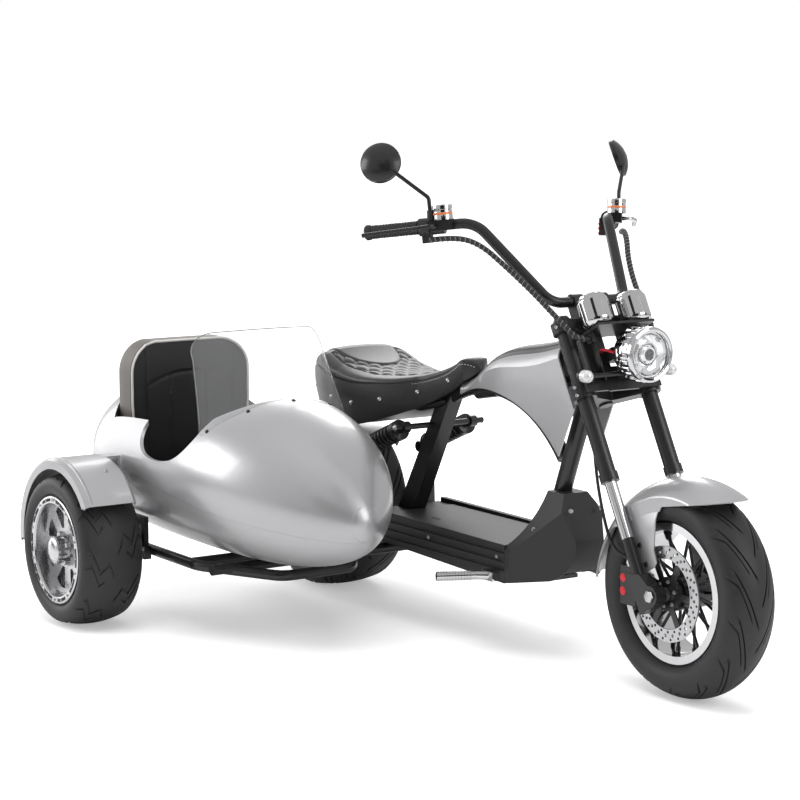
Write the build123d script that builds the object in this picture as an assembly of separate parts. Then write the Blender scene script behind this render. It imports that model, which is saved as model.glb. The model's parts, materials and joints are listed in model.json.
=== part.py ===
from build123d import *
import os
from math import asin, cos, hypot, radians, sin

# Electric scooter with a sidecar on its right side, in millimetres.
# Working frame: +X forward, +Y left, +Z up, sidecar's axle at x = 0, scooter's middle at y = 0, ground at z = 0.
# At the end everything is shifted so that the origin is the middle of the whole vehicle's box, on the ground.

# Layout
FRONT_X = 1470.0
REAR_X = -60.0
RAKE = 28.0
FORK_HALF_SPACING = 98.0
LEG_LEAD = 50.0
AXLE_LEAD = 33.0
GAP = 0.3
RUN_GAP = 0.6
RUN_FIT = 0.08

# Wheels: tyre radius, half width, bead radius, bead half width, shoulder radius and half width
FRONT_TYRE = {"radius": 251.0, "half": 71.0, "bead": 154.0, "bead_half": 46.0, "shoulder": 236.0, "crown": 50.0}
REAR_TYRE = {"radius": 238.0, "half": 107.0, "bead": 154.0, "bead_half": 84.0, "shoulder": 229.0, "crown": 84.0}
SIDE_TYRE = {"radius": 203.0, "half": 88.0, "bead": 131.0, "bead_half": 74.0, "shoulder": 193.0, "crown": 68.0}
FLANGE_HEIGHT = 11.0
FLANGE_WIDTH = 6.0
RIM_WALL = 7.0
AXLE_R = 10.0
STAND_STUB = 20.0
STAND_STUB_R = 9.0
SIDE_WHEEL_Y = -830.0

# Front wheel
FRONT_HUB_R = 42.0
FRONT_HUB_HALF = 40.0
SPOKE_PAIRS = 12
SPOKE_R = 4.0
SPOKE_SPREAD = 7.0
SPOKE_HUB_Y = 20.0
DISC_R = 112.0
DISC_INNER_R = 82.0
DISC_THICK = 4.0
DISC_Y = -62.0
DISC_HOLES = 24
DISC_HOLE_R = 4.0
DISC_ARMS = 6

# Rear and sidecar wheels
MOTOR_R = 118.0
MOTOR_HALF = 64.0
MOTOR_FINS = 5
SIDE_SPOKES = 8
SIDE_WEB_Y = -36.0
SIDE_WEB_THICK = 16.0
SIDE_HUB_R = 46.0
SIDE_CAP_R = 33.0
SIDE_CAP_Y = -84.0

# Fork, from the wheel axle up along the steering axis
UPPER_TUBE_R = 20.0
LOWER_TUBE_R = 15.0
LUG_HALF = 16.0
UPPER_TUBE_FOOT = 294.0
UPPER_TUBE_TOP = 702.0
LOWER_TUBE_TOP = 400.0
LOWER_CLAMP_Z = 517.0
TOP_CLAMP_Z = 682.0
LOWER_CLAMP_THICK = 38.0
TOP_CLAMP_THICK = 28.0
CLAMP_R = 29.0
STEM_R = 17.0
HEAD_TUBE_R = 29.0

# Handlebar
BAR_R = 13.0
BAR_LOW_BEND = (1090.0, 112.0, 896.0)
BAR_TOP_BEND = (905.0, 205.0, 1084.0)
BAR_END = (704.0, 382.0, 1054.0)
BAR_LOW_RADIUS = 45.0
BAR_TOP_RADIUS = 80.0
GRIP_R = 17.0
GRIP_LENGTH = 128.0
MIRROR = (742.0, 372.0, 1226.0)
MIRROR_R = 50.0
# Cable clips under the lamp shelf, in the fork's frame
CLIP_X = 105.0
CLIP_Y = 78.0
CLIP_Z = 630.0

# Frame and deck
TUBE_R = 22.0
ARCH_R = 19.0
STRUT_DEPTH = 72.0
STRUT_HALF = 21.0
STRUT_PLAY = 5.0
FLOOR_Z = 197.0
FLOOR_THICK = 10.0
FLOOR_HALF = 103.0
DECK_TOP = 276.0
DECK_WALL = 12.0
DECK_REAR = 292.0
DECK_FRONT = 932.0
SIDE_THICK = 15.0
COWL_WALL = 5.0
SEAT_RAIL_R = 11.0
SEAT_RAIL_Z = 566.0
SEAT_RAIL_TOP = SEAT_RAIL_Z + SEAT_RAIL_R + GAP

# Sidecar
HULL_Y = -447.0
HULL_WALL = 9.0
HULL_FLOOR = 197.0
BACKREST_Y = -460.0
RAIL_R = 14.0
RAIL_HALF = 200.0

STEER_ORIGIN = Vector(FRONT_X, 0, FRONT_TYRE["radius"]) - Vector(
    (LEG_LEAD + AXLE_LEAD) * cos(radians(RAKE)), 0, (LEG_LEAD + AXLE_LEAD) * sin(radians(RAKE))
)
# Fork frame: its z axis is the steering axis, x points ahead and y to the left.
FORK = Plane(
    origin=STEER_ORIGIN,
    x_dir=(cos(radians(RAKE)), 0, sin(radians(RAKE))),
    z_dir=(-sin(radians(RAKE)), 0, cos(radians(RAKE))),
)

nodes = {}


def outline(start, *steps):
    """Closed face: a plain point draws a line, a pair of points draws an arc through the first to the second."""
    edges = []
    here = start
    for step in steps:
        if isinstance(step[0], tuple):
            edges.append(ThreePointArc(here, step[0], step[1]))
            here = step[1]
        else:
            edges.append(Line(here, step))
            here = step
    if here != start:
        edges.append(Line(here, start))
    return make_face(edges)


def slab(face, low_y, high_y):
    """A face drawn in x and z, given thickness from low_y to high_y."""
    return extrude(Plane.XZ.offset(-high_y) * face, amount=high_y - low_y)


def block(low, high):
    """A box between two corners."""
    size = [b - a for a, b in zip(low, high)]
    return Pos(*low) * Box(*size, align=(Align.MIN, Align.MIN, Align.MIN))


def rod(start, end, radius):
    """A round bar between two points."""
    run = Vector(*end) - Vector(*start)
    return extrude(Plane(origin=start, z_dir=run) * Circle(radius), amount=run.length)


def tube(points, radius, bend):
    """A round bar along straight runs joined by arcs."""
    path = FilletPolyline(*points, radius=bend)
    return sweep(Plane(origin=path @ 0, z_dir=path % 0) * Circle(radius), path=path)


def ring(radius, bore, low_y, high_y):
    """A hollow cylinder about the Y axis."""
    return rod((0, low_y, 0), (0, high_y, 0), radius) - rod((0, low_y - 1, 0), (0, high_y + 1, 0), bore)


def spun(face):
    """A face drawn as radius and y, turned about the Y axis."""
    return revolve(face, axis=Axis.Y)


def dome(edge_r, sag):
    """Middle point of a ball-shaped dome's profile, as radius and height over its edge."""
    ball = (edge_r**2 + sag**2) / (2 * sag)
    half_angle = asin(edge_r / ball) / 2
    return ball * sin(half_angle), sag - ball * (1 - cos(half_angle))


def mirrored(shape):
    """The same piece on the left side."""
    return mirror(shape, about=Plane.XZ)


def tyre(size):
    """A tyre: two flat bead faces, round side walls and a crowned tread."""
    wall_foot = size["bead"] + FLANGE_HEIGHT + 2
    wall_mid = (wall_foot + size["shoulder"]) / 2
    return spun(outline(
        (size["bead"], -size["bead_half"]),
        (wall_foot, -size["bead_half"]),
        ((wall_mid, -size["half"]), (size["shoulder"], -size["crown"])),
        ((size["radius"], 0), (size["shoulder"], size["crown"])),
        ((wall_mid, size["half"]), (wall_foot, size["bead_half"])),
        (size["bead"], size["bead_half"]),
    ))


def rim_hoop(size):
    """The rim's barrel with a flange at each edge, inside the tyre's beads."""
    seat = size["bead"] - GAP
    flange = size["bead"] + FLANGE_HEIGHT
    inner_y = size["bead_half"] + GAP
    outer_y = inner_y + FLANGE_WIDTH
    return spun(outline(
        (seat, -inner_y), (flange, -inner_y), (flange, -outer_y), (seat - RIM_WALL, -outer_y),
        (seat - RIM_WALL, outer_y), (flange, outer_y), (flange, inner_y), (seat, inner_y),
    ))


def polar(radius, angle, y):
    """A point at a radius and angle about the Y axis; angle 0 is forward and 90 is up."""
    return (radius * cos(radians(angle)), y, radius * sin(radians(angle)))


def front_wheel():
    """Tyre, paired-spoke rim with its hub, and the brake disc on the right."""
    centre = Pos(FRONT_X, 0, FRONT_TYRE["radius"])
    rim_inner = FRONT_TYRE["bead"] - GAP - RIM_WALL
    spokes = []
    for pair in range(SPOKE_PAIRS):
        middle = pair * 360 / SPOKE_PAIRS
        for side in (-1, 1):
            start = polar(FRONT_HUB_R - 4, middle, side * SPOKE_HUB_Y)
            end = polar(rim_inner + 3, middle + side * SPOKE_SPREAD, side * SPOKE_HUB_Y / 2)
            spokes.append(rod(start, end, SPOKE_R))
    disc_inner_face = DISC_Y + DISC_THICK / 2
    hub = rod((0, -FRONT_HUB_HALF, 0), (0, FRONT_HUB_HALF, 0), FRONT_HUB_R)
    disc_boss = rod((0, disc_inner_face + GAP, 0), (0, 0, 0), FRONT_HUB_R - 6)
    bore = rod((0, -90, 0), (0, 90, 0), AXLE_R + RUN_FIT)
    rim = rim_hoop(FRONT_TYRE) + hub + disc_boss + spokes - bore
    carrier = ring(FRONT_HUB_R - 2, AXLE_R + 8, DISC_Y - DISC_THICK / 2, disc_inner_face)
    arms = []
    for arm in range(DISC_ARMS):
        turn = Rot(0, arm * 360 / DISC_ARMS, 0)
        arms.append(turn * block((30, DISC_Y - DISC_THICK / 2, -8), (DISC_INNER_R + 4, disc_inner_face, 8)))
    disc = ring(DISC_R, DISC_INNER_R, DISC_Y - DISC_THICK / 2, disc_inner_face) + carrier + arms
    holes = []
    for hole in range(DISC_HOLES):
        x, y, z = polar((DISC_R + DISC_INNER_R) / 2, hole * 360 / DISC_HOLES, DISC_Y)
        holes.append(rod((x, y - DISC_THICK, z), (x, y + DISC_THICK, z), DISC_HOLE_R))
    nodes["front_tyre"] = centre * tyre(FRONT_TYRE)
    nodes["front_rim"] = centre * rim
    nodes["brake_disc"] = centre * (disc - holes)


def rear_wheel():
    """Wide tyre and a rim built around a hub motor with cooling fins."""
    centre = Pos(REAR_X, 0, REAR_TYRE["radius"])
    web = ring(REAR_TYRE["bead"] - 4, MOTOR_R - 4, -10, 10)
    motor = rod((0, -MOTOR_HALF, 0), (0, MOTOR_HALF, 0), MOTOR_R)
    covers = rod((0, -MOTOR_HALF - 12, 0), (0, MOTOR_HALF + 12, 0), 34)
    grooves = []
    for fin in range(MOTOR_FINS):
        radius = 48 + fin * 12
        for side in (-1, 1):
            low = side * MOTOR_HALF - 4
            grooves.append(ring(radius + 3, radius - 3, low, low + 8))
    bore = rod((0, -120, 0), (0, 120, 0), AXLE_R + RUN_FIT)
    nodes["rear_tyre"] = centre * tyre(REAR_TYRE)
    nodes["hub_motor"] = centre * (rim_hoop(REAR_TYRE) + web + motor + covers - grooves - bore)


def side_wheel():
    """Low wide tyre and a deep-dish rim whose spoke web sits inside the outer lip."""
    centre = Pos(0, SIDE_WHEEL_Y, SIDE_TYRE["radius"])
    rim_inner = SIDE_TYRE["bead"] - GAP - RIM_WALL
    web_face = SIDE_WEB_Y - SIDE_WEB_THICK / 2
    web = ring(rim_inner + 3, AXLE_R + RUN_FIT, web_face, SIDE_WEB_Y + SIDE_WEB_THICK / 2)
    windows = []
    for spoke in range(SIDE_SPOKES):
        turn = Rot(0, (spoke + 0.5) * 360 / SIDE_SPOKES, 0)
        window = outline(
            (SIDE_HUB_R + 10, -6), (rim_inner - 16, -26), ((rim_inner - 8, 0), (rim_inner - 16, 26)),
            (SIDE_HUB_R + 10, 6),
        )
        windows.append(turn * slab(window, web_face - 1, web_face + SIDE_WEB_THICK + 1))
    hub = rod((0, web_face - 10, 0), (0, 56, 0), SIDE_HUB_R)
    cap = rod((0, SIDE_CAP_Y, 0), (0, web_face, 0), SIDE_CAP_R)
    bore = rod((0, SIDE_CAP_Y + 12, 0), (0, 90, 0), AXLE_R + RUN_FIT)
    nodes["sidecar_tyre"] = centre * tyre(SIDE_TYRE)
    nodes["sidecar_rim"] = centre * (rim_hoop(SIDE_TYRE) + (web - windows) + hub + cap - bore)


def fork_clamp(middle, thick):
    """A yoke: a boss for the stem and one for each leg, joined by arms."""
    low = middle - thick / 2
    bosses = [Pos(0, 0, low) * extrude(Circle(CLAMP_R), amount=thick)]
    bores = [Pos(0, 0, low - 1) * extrude(Circle(STEM_R + GAP), amount=thick + 2)]
    for side in (-1, 1):
        leg = (LEG_LEAD, side * FORK_HALF_SPACING)
        bosses.append(Pos(*leg, low) * extrude(Circle(CLAMP_R), amount=thick))
        bores.append(Pos(*leg, low - 1) * extrude(Circle(UPPER_TUBE_R + GAP), amount=thick + 2))
        arm = make_face(Polyline(
            (-18, 0), (LEG_LEAD - 20, leg[1]), (LEG_LEAD + 22, leg[1]), (26, 0), close=True
        ))
        bosses.append(Pos(0, 0, low) * extrude(arm, amount=thick))
    return Part() + bosses - bores


def fork():
    """Steering stem, two yokes, black upper tubes and chrome lower tubes with axle lugs."""
    stem_low = LOWER_CLAMP_Z - LOWER_CLAMP_THICK / 2 - 4
    stem_high = TOP_CLAMP_Z + TOP_CLAMP_THICK / 2 + 6
    nodes["steering_stem"] = FORK * rod((0, 0, stem_low), (0, 0, stem_high), STEM_R)
    nodes["lower_clamp"] = FORK * fork_clamp(LOWER_CLAMP_Z, LOWER_CLAMP_THICK)
    nodes["top_clamp"] = FORK * fork_clamp(TOP_CLAMP_Z, TOP_CLAMP_THICK)
    uppers = []
    lowers = []
    axle_x = LEG_LEAD + AXLE_LEAD
    for side in (-1, 1):
        leg_y = side * FORK_HALF_SPACING
        upper = rod((LEG_LEAD, leg_y, UPPER_TUBE_FOOT), (LEG_LEAD, leg_y, UPPER_TUBE_TOP), UPPER_TUBE_R)
        collar_low = (LEG_LEAD, leg_y, UPPER_TUBE_FOOT - 4)
        upper += rod(collar_low, (LEG_LEAD, leg_y, UPPER_TUBE_FOOT + 18), UPPER_TUBE_R + 3)
        slide = rod(
            (LEG_LEAD, leg_y, UPPER_TUBE_FOOT - 5), (LEG_LEAD, leg_y, LOWER_TUBE_TOP + 5), LOWER_TUBE_R + GAP
        )
        uppers.append(upper - slide)
        lower = rod((LEG_LEAD, leg_y, -20), (LEG_LEAD, leg_y, LOWER_TUBE_TOP), LOWER_TUBE_R)
        lug = slab(outline(
            (LEG_LEAD - 19, -28), (axle_x + 4, -24), ((axle_x + 24, 0), (axle_x + 4, 24)),
            (LEG_LEAD + 19, 58), (LEG_LEAD - 19, 70),
        ), leg_y - LUG_HALF, leg_y + LUG_HALF)
        lug -= rod((axle_x, leg_y - 20, 0), (axle_x, leg_y + 20, 0), AXLE_R + GAP)
        lowers.append(lower + lug)
    nodes["fork_uppers"] = FORK * (Part() + uppers)
    nodes["fork_lowers"] = FORK * (Part() + lowers)
    lug_inner = FORK_HALF_SPACING - LUG_HALF - GAP
    axle_end = FORK_HALF_SPACING + 18
    axle = rod((axle_x, -axle_end, 0), (axle_x, axle_end, 0), AXLE_R)
    axle += rod((axle_x, FRONT_HUB_HALF + RUN_GAP, 0), (axle_x, lug_inner, 0), AXLE_R + 6)
    axle += rod((axle_x, -lug_inner, 0), (axle_x, DISC_Y - DISC_THICK / 2 - RUN_GAP, 0), AXLE_R + 6)
    nodes["front_axle"] = FORK * axle


def front_fender():
    """Arched shell over the front wheel, pointed at the front, with a bracket to each fork leg."""
    inner_r = FRONT_TYRE["radius"] + 13
    wall = 3.0
    half = FORK_HALF_SPACING - LOWER_TUBE_R - 5
    skirt = 36.0
    crown = 16.0
    first_angle = 46.0
    last_angle = 176.0
    section = outline(
        (inner_r - skirt, -half), (inner_r - crown, -half), ((inner_r + wall, 0), (inner_r - crown, half)),
        (inner_r - skirt, half), (inner_r - skirt, half - wall), (inner_r - crown - 1, half - wall),
        ((inner_r, 0), (inner_r - crown - 1, -half + wall)), (inner_r - skirt, -half + wall),
    )
    centre = Pos(FRONT_X, 0, FRONT_TYRE["radius"])
    # The section starts pointing forward; a turn about -Y raises it.
    shell = revolve(Rot(0, -first_angle, 0) * section, axis=-Axis.Y, revolution_arc=last_angle - first_angle)
    cut_reach = 200.0
    for side in (-1, 1):
        wedge = make_face(Polyline(
            (inner_r * cos(radians(first_angle)) + 20, side * 12), (20, side * (half + 4)),
            (cut_reach + 60, side * (half + 40)), (cut_reach + 60, side * 12), close=True,
        ))
        low_cut = inner_r * sin(radians(first_angle)) - skirt - 20
        shell -= Pos(0, 0, low_cut) * extrude(wedge, amount=cut_reach)
    shell = centre * shell
    pads = []
    for side in (-1, 1):
        low_y, high_y = sorted((side * (half - wall), side * (half + 5 - GAP)))
        pads.append(FORK * block((LEG_LEAD - 14, low_y, 206), (LEG_LEAD + 14, high_y, 254)))
    nodes["front_fender"] = shell + pads


def brake():
    """Caliper over the disc's rear edge on its bracket, and the hose that feeds it."""
    axle = Vector(FRONT_X, 0, FRONT_TYRE["radius"])
    slot_half = DISC_THICK / 2 + 3
    body = block((-148, DISC_Y - 17, -46), (-92, DISC_Y + 15, 46))
    body -= block((-160, DISC_Y - slot_half, -60), (-80, DISC_Y + slot_half, 60)) & rod(
        (0, DISC_Y - slot_half, 0), (0, DISC_Y + slot_half, 0), DISC_R + 4
    )
    body -= ring(180, 138, DISC_Y + 4.5, -20)
    leg_inner = -(FORK_HALF_SPACING - LUG_HALF - GAP)
    arm = slab(outline((-140, -20), (-40, -14), (-8, 20), (-40, 34), (-140, 30)), leg_inner, leg_inner + 6)
    arm -= rod((0, leg_inner - 5, 0), (0, leg_inner + 20, 0), AXLE_R + 6 + GAP)
    nodes["brake_caliper"] = Pos(axle) * (body + arm)
    hose_top = FORK.from_local_coords(Vector(LEG_LEAD - 22, -66, LOWER_CLAMP_Z - LOWER_CLAMP_THICK / 2 - 4))
    leg_side = FORK.from_local_coords(Vector(LEG_LEAD - 46, -88, 360))
    bow = FORK.from_local_coords(Vector(LEG_LEAD - 70, -90, 250))
    lower = FORK.from_local_coords(Vector(LEG_LEAD - 84, -84, 150))
    foot = axle + Vector(-122, DISC_Y - 4, 60)
    end = axle + Vector(-122, DISC_Y - 4, 46 + GAP)
    nodes["brake_hose"] = tube([hose_top, leg_side, bow, lower, foot, end], 4.0, 10)


def handlebar():
    """One bent bar in two risers, grips, brake master cylinders with levers, mirrors and control cables."""
    right = [BAR_END, BAR_TOP_BEND, BAR_LOW_BEND]
    points = [(x, y, z) for x, y, z in right] + [(x, -y, z) for x, y, z in reversed(right)]
    radii = [BAR_TOP_RADIUS, BAR_LOW_RADIUS, BAR_LOW_RADIUS, BAR_TOP_RADIUS]
    nodes["handlebar"] = tube(points, BAR_R, radii)
    bar_local = FORK.to_local_coords(Vector(BAR_LOW_BEND[0], 0, BAR_LOW_BEND[2]))
    risers = []
    for side in (-1, 1):
        y = side * 38
        top = TOP_CLAMP_Z + TOP_CLAMP_THICK / 2 + GAP
        riser = Pos(0, y - 15, 0) * slab_local(bar_local, top)
        riser -= rod((bar_local.X, y - 20, bar_local.Z), (bar_local.X, y + 20, bar_local.Z), BAR_R + GAP)
        risers.append(riser)
    nodes["bar_risers"] = FORK * (Part() + risers)
    start = Vector(*BAR_END)
    inward = (Vector(*BAR_TOP_BEND) - start).normalized()
    side_plane = Plane(origin=start, x_dir=inward, z_dir=Vector(0, 0, 1) - inward * inward.Z)
    grip = ring_along(0, GRIP_LENGTH, GRIP_R) + ring_along(-4, 6, GRIP_R + 2)
    grip -= ring_along(-10, GRIP_LENGTH + 10, BAR_R + GAP)
    grip += ring_along(-8, -GAP, GRIP_R - 1)
    grip = side_plane * grip
    nodes["grips"] = Part() + [grip, mirrored(grip)]
    clamp = ring_along(GRIP_LENGTH + 34, GRIP_LENGTH + 66, BAR_R + 8)
    clamp += block((GRIP_LENGTH + 32, 6, -10), (GRIP_LENGTH + 92, 34, 14))
    clamp += Pos(GRIP_LENGTH + 69, 20, 14) * Cylinder(23, 34, align=(Align.CENTER, Align.CENTER, Align.MIN))
    clamp -= ring_along(0, GRIP_LENGTH + 100, BAR_R + GAP)
    clamp = side_plane * clamp
    nodes["master_cylinders"] = Part() + [clamp, mirrored(clamp)]
    lever_path = [(GRIP_LENGTH + 50, 34 + GAP, 2), (GRIP_LENGTH + 50, 58, 2), (GRIP_LENGTH + 10, 66, 0), (0, 58, -4)]
    lever = tube(lever_path, 5.5, 14)
    lever = side_plane * lever
    nodes["brake_levers"] = Part() + [lever, mirrored(lever)]
    switch = ring_along(GRIP_LENGTH + 3, GRIP_LENGTH + 30, BAR_R + 9)
    switch += block((GRIP_LENGTH + 4, -26, -40), (GRIP_LENGTH + 28, -6, 4))
    switch -= ring_along(0, GRIP_LENGTH + 100, BAR_R + GAP)
    switch = side_plane * switch
    nodes["switch_housings"] = Part() + [switch, mirrored(switch)]
    mirrors()
    control_cables()


def slab_local(bar, low):
    """A riser's side view from the top yoke to just over the bar, 30 wide."""
    face = outline(
        (bar.X - 17, low), (bar.X - 17, bar.Z), ((bar.X, bar.Z + 19), (bar.X + 17, bar.Z)), (bar.X + 17, low)
    )
    return slab(face, 0, 30)


def ring_along(start, end, radius):
    """A round bar along the grip's own x axis."""
    return rod((start, 0, 0), (end, 0, 0), radius)


def mirrors():
    """Round mirrors on bent stems that rise from the master cylinders."""
    start = Vector(*BAR_END)
    inward = (Vector(*BAR_TOP_BEND) - start).normalized()
    side_plane = Plane(origin=start, x_dir=inward, z_dir=Vector(0, 0, 1) - inward * inward.Z)
    foot = side_plane.from_local_coords(Vector(GRIP_LENGTH + 39, 24, 14 + GAP))
    centre = Vector(*MIRROR)
    facing = Vector(0.62, 0.7, 0.35).normalized()
    back = centre + facing * 18
    knee = foot + side_plane.z_dir * 56
    bulge_r, bulge_z = dome(MIRROR_R, 20)
    stem = tube([foot, knee, back], 5.0, 14)
    shell = Plane(origin=centre, z_dir=facing) * revolve(
        Plane.XZ * outline((0, -8), (MIRROR_R, -8), (MIRROR_R, 2), ((bulge_r, 2 + bulge_z), (0, 22))), axis=Axis.Z
    )
    one = stem + shell
    nodes["mirrors"] = Part() + [one, mirrored(one)]


def control_cables():
    """Wrapped cable bundles that follow the bar from the switches down to the lamp bracket."""
    cables = []
    for side in (-1, 1):
        clip = FORK.from_local_coords(Vector(CLIP_X, 0, CLIP_Z))
        points = [
            (846, side * 300, 1040), (898, side * 262, 1050), (955, side * 228, 1036), (1008, side * 190, 984),
            (1075, side * 158, 925), (1133, side * 140, 876), (1180, side * 126, 836), (clip.X, side * 112, clip.Z),
            (clip.X, side * (CLIP_Y + GAP), clip.Z),
        ]
        cables.append(tube(points, 6.5, 14))
    nodes["control_cables"] = Part() + cables


def lamps():
    """Bracket ahead of the fork legs with the headlight, two gauge pods and the turn signals."""
    plate_x = LEG_LEAD + CLAMP_R + GAP
    low = LOWER_CLAMP_Z - 14
    high = TOP_CLAMP_Z + 10
    plate = block((plate_x, -46, low), (plate_x + 8, 46, high))
    plate -= block((plate_x - 1, -24, low + 60), (plate_x + 9, 24, high - 40))
    for middle in (LOWER_CLAMP_Z, TOP_CLAMP_Z - 4):
        plate += block((plate_x, -112, middle - 12), (plate_x + 8, 112, middle + 12))
    shelf = block((plate_x, -84, high - 50), (plate_x + 84, 84, high - 44))
    stalk_z = 536.0
    stalks = rod((plate_x + 30, -112, stalk_z), (plate_x + 30, 112, stalk_z), 6)
    stalks += block((plate_x + 2, -20, stalk_z - 6), (plate_x + 30, 20, stalk_z + 6))
    for side in (-1, 1):
        low_y, high_y = sorted((side * (CLIP_Y - 12), side * CLIP_Y))
        shelf += block((CLIP_X - 10, low_y, CLIP_Z - 12), (CLIP_X + 10, high_y, high - 46))
    head = Vector(1327, 0, 787)
    bucket_r = 63.0
    depth = 104.0
    socket = FORK * block((plate_x + 4, -32, 572), (plate_x + 40, 32, 600))
    lens_r = bucket_r - 9
    reflector = 40.0
    bucket = outline(
        (-6, 0), (-6, 18), (-12, 23), (-reflector, 23), (-reflector, 34), (-6 - GAP, lens_r - 4),
        (-6 - GAP, lens_r + GAP), (0, lens_r + GAP), (0, bucket_r), (-18, bucket_r),
        ((-70, bucket_r - 10), (-depth, 26)), (-depth, 0),
    )
    bucket = Pos(head) * revolve(bucket, axis=Axis.X)
    nodes["headlight"] = bucket
    sag = 12.0
    mid_r, mid_x = dome(lens_r, sag)
    nodes["headlight_lens"] = Pos(head) * revolve(outline(
        (sag - 6, 0), ((mid_x - 6, mid_r), (-6, lens_r)), (-2, lens_r), ((mid_x - 2, mid_r), (sag - 2, 0)),
    ), axis=Axis.X)
    bracket = FORK * (plate + shelf + stalks) + socket - bucket
    nodes["lamp_bracket"] = bracket
    pod = revolve(Plane.XZ * outline(
        (0, 0), (22, 0), ((33, 5), (38, 16)), (38, 62), ((34, 72), (24, 76)), (0, 76),
    ), axis=Axis.Z)
    pods = []
    for side in (-1, 1):
        pods.append(Pos(131, side * 58, high - 44 + GAP) * pod)
    nodes["gauge_pods"] = FORK * (Part() + pods)
    signals = []
    for side in (-1, 1):
        body = revolve(outline(
            (-22, 0), (-22, 9), (-10, 15), (8, 15), ((8 + 15 * cos(radians(45)), 15 * sin(radians(45))), (23, 0)),
        ), axis=Axis.X)
        place = FORK.from_local_coords(Vector(plate_x + 30, side * (112 + GAP + 15), stalk_z))
        signals.append(Pos(place) * body)
    nodes["turn_signals"] = Part() + signals


def main_frame():
    """Head tube, down tube, arch, seat strut, floor plate and the cross tubes, welded into one."""
    head_low = LOWER_CLAMP_Z + LOWER_CLAMP_THICK / 2 + RUN_GAP
    head_high = TOP_CLAMP_Z - TOP_CLAMP_THICK / 2 - RUN_GAP
    head = rod((0, 0, head_low), (0, 0, head_high), HEAD_TUBE_R)
    head = FORK * (head - rod((0, 0, head_low - 1), (0, 0, head_high + 1), STEM_R + RUN_FIT))
    floor_top = FLOOR_Z + FLOOR_THICK
    down = down_tube(TUBE_R)
    arch_path = ThreePointArc((530, 0, 604), (760, 0, 639), (1004, 0, 500))
    arch = sweep(Plane(origin=arch_path @ 0, z_dir=arch_path % 0) * Circle(ARCH_R), path=arch_path)
    top = rod((1100, 0, 706), (640, 0, 624), ARCH_R - 2)
    posts = rod((740, 0, 640), (740, 0, 760), 8) + rod((980, 0, 684), (980, 0, 820), 8)
    posts = posts & tank_form(-TANK_WALL - GAP)
    floor = block((246, -FLOOR_HALF, FLOOR_Z), (DECK_FRONT, FLOOR_HALF, floor_top))
    floor += block((DECK_FRONT, -40, FLOOR_Z), (1010, 40, floor_top))
    shock_bar = rod((458, -140, 520), (458, 140, 520), 8)
    pivot = rod((264, -148, 240), (264, 148, 240), 12) + block((252, -90, FLOOR_Z), (276, 90, 246))
    rails = []
    for side in (-1, 1):
        rail_path = [(520, side * 14, 590), (440, side * 44, SEAT_RAIL_Z), (120, side * 52, SEAT_RAIL_Z)]
        rails.append(tube(rail_path, SEAT_RAIL_R, 30))
    frame = down + arch + top + posts + strut(0) + floor + shock_bar + pivot + rails
    frame -= FORK * rod((0, 0, head_low), (0, 0, head_high + 60), HEAD_TUBE_R - 2)
    frame -= FORK * rod((0, 0, head_low - 60), (0, 0, head_low), HEAD_TUBE_R + 16)
    nodes["main_frame"] = frame + head


def down_tube(radius):
    """The tube from the head down to the floor plate."""
    return tube([(1112, 0, 712), (990, 0, 400), (982, 0, FLOOR_Z + FLOOR_THICK - 4)], radius, 90)


def strut(grow):
    """The wide seat strut from the floor plate up to the arch's rear end."""
    half_depth = STRUT_DEPTH / 2 + grow
    foot = (288.0, FLOOR_Z + 4)
    head = (516.0, 622.0)
    return slab(outline(
        (foot[0] - half_depth, foot[1]), (foot[0] + half_depth, foot[1]),
        (head[0] + half_depth, head[1]), (head[0] - half_depth, head[1] - 36),
    ), -STRUT_HALF - grow, STRUT_HALF + grow)


def deck():
    """Foot deck over the battery, its ribbed side mouldings, the front cowl and the foot pegs."""
    outer = FLOOR_HALF + GAP + DECK_WALL
    cover = block((DECK_REAR, -outer, FLOOR_Z), (DECK_FRONT, outer, DECK_TOP))
    cover -= block((DECK_REAR + DECK_WALL, -FLOOR_HALF - GAP, FLOOR_Z - 1), (
        DECK_FRONT + 1, FLOOR_HALF + GAP, DECK_TOP - DECK_WALL
    ))
    cover -= block((DECK_REAR - 1, -FLOOR_HALF - GAP, FLOOR_Z - 1), (
        DECK_REAR + DECK_WALL + 1, FLOOR_HALF + GAP, FLOOR_Z + FLOOR_THICK + GAP
    ))
    nodes["deck_cover"] = cover - strut(STRUT_PLAY)
    floor_top = FLOOR_Z + FLOOR_THICK + GAP
    nodes["battery_pack"] = block((404, -94, floor_top), (904, 94, DECK_TOP - DECK_WALL - 4))
    side_face = outline(
        (DECK_REAR + 8, 206), (DECK_FRONT, 187), (DECK_FRONT, 284), (DECK_REAR + 8, 288)
    )
    side_low = outer + GAP
    moulding = slab(side_face, side_low, side_low + SIDE_THICK)
    for rib_z in (218.0, 240.0, 262.0):
        moulding -= block((DECK_REAR, side_low + SIDE_THICK - 4, rib_z), (DECK_FRONT + 2, side_low + 30, rib_z + 10))
    nodes["deck_sides"] = Part() + [moulding, mirrored(moulding)]
    nodes["front_cowl"] = cowl(0) - cowl(COWL_WALL) - down_tube(TUBE_R + RUN_GAP)
    peg_root = side_low + SIDE_THICK + GAP
    peg = block((868, -peg_root - 22, 190), (912, -peg_root, 214))
    peg += tube([(890, -peg_root - 14, 202), (868, -peg_root - 40, 202), (826, -262, 202)], 11, 12)
    nodes["foot_pegs"] = Part() + [peg, mirrored(peg)]


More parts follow.
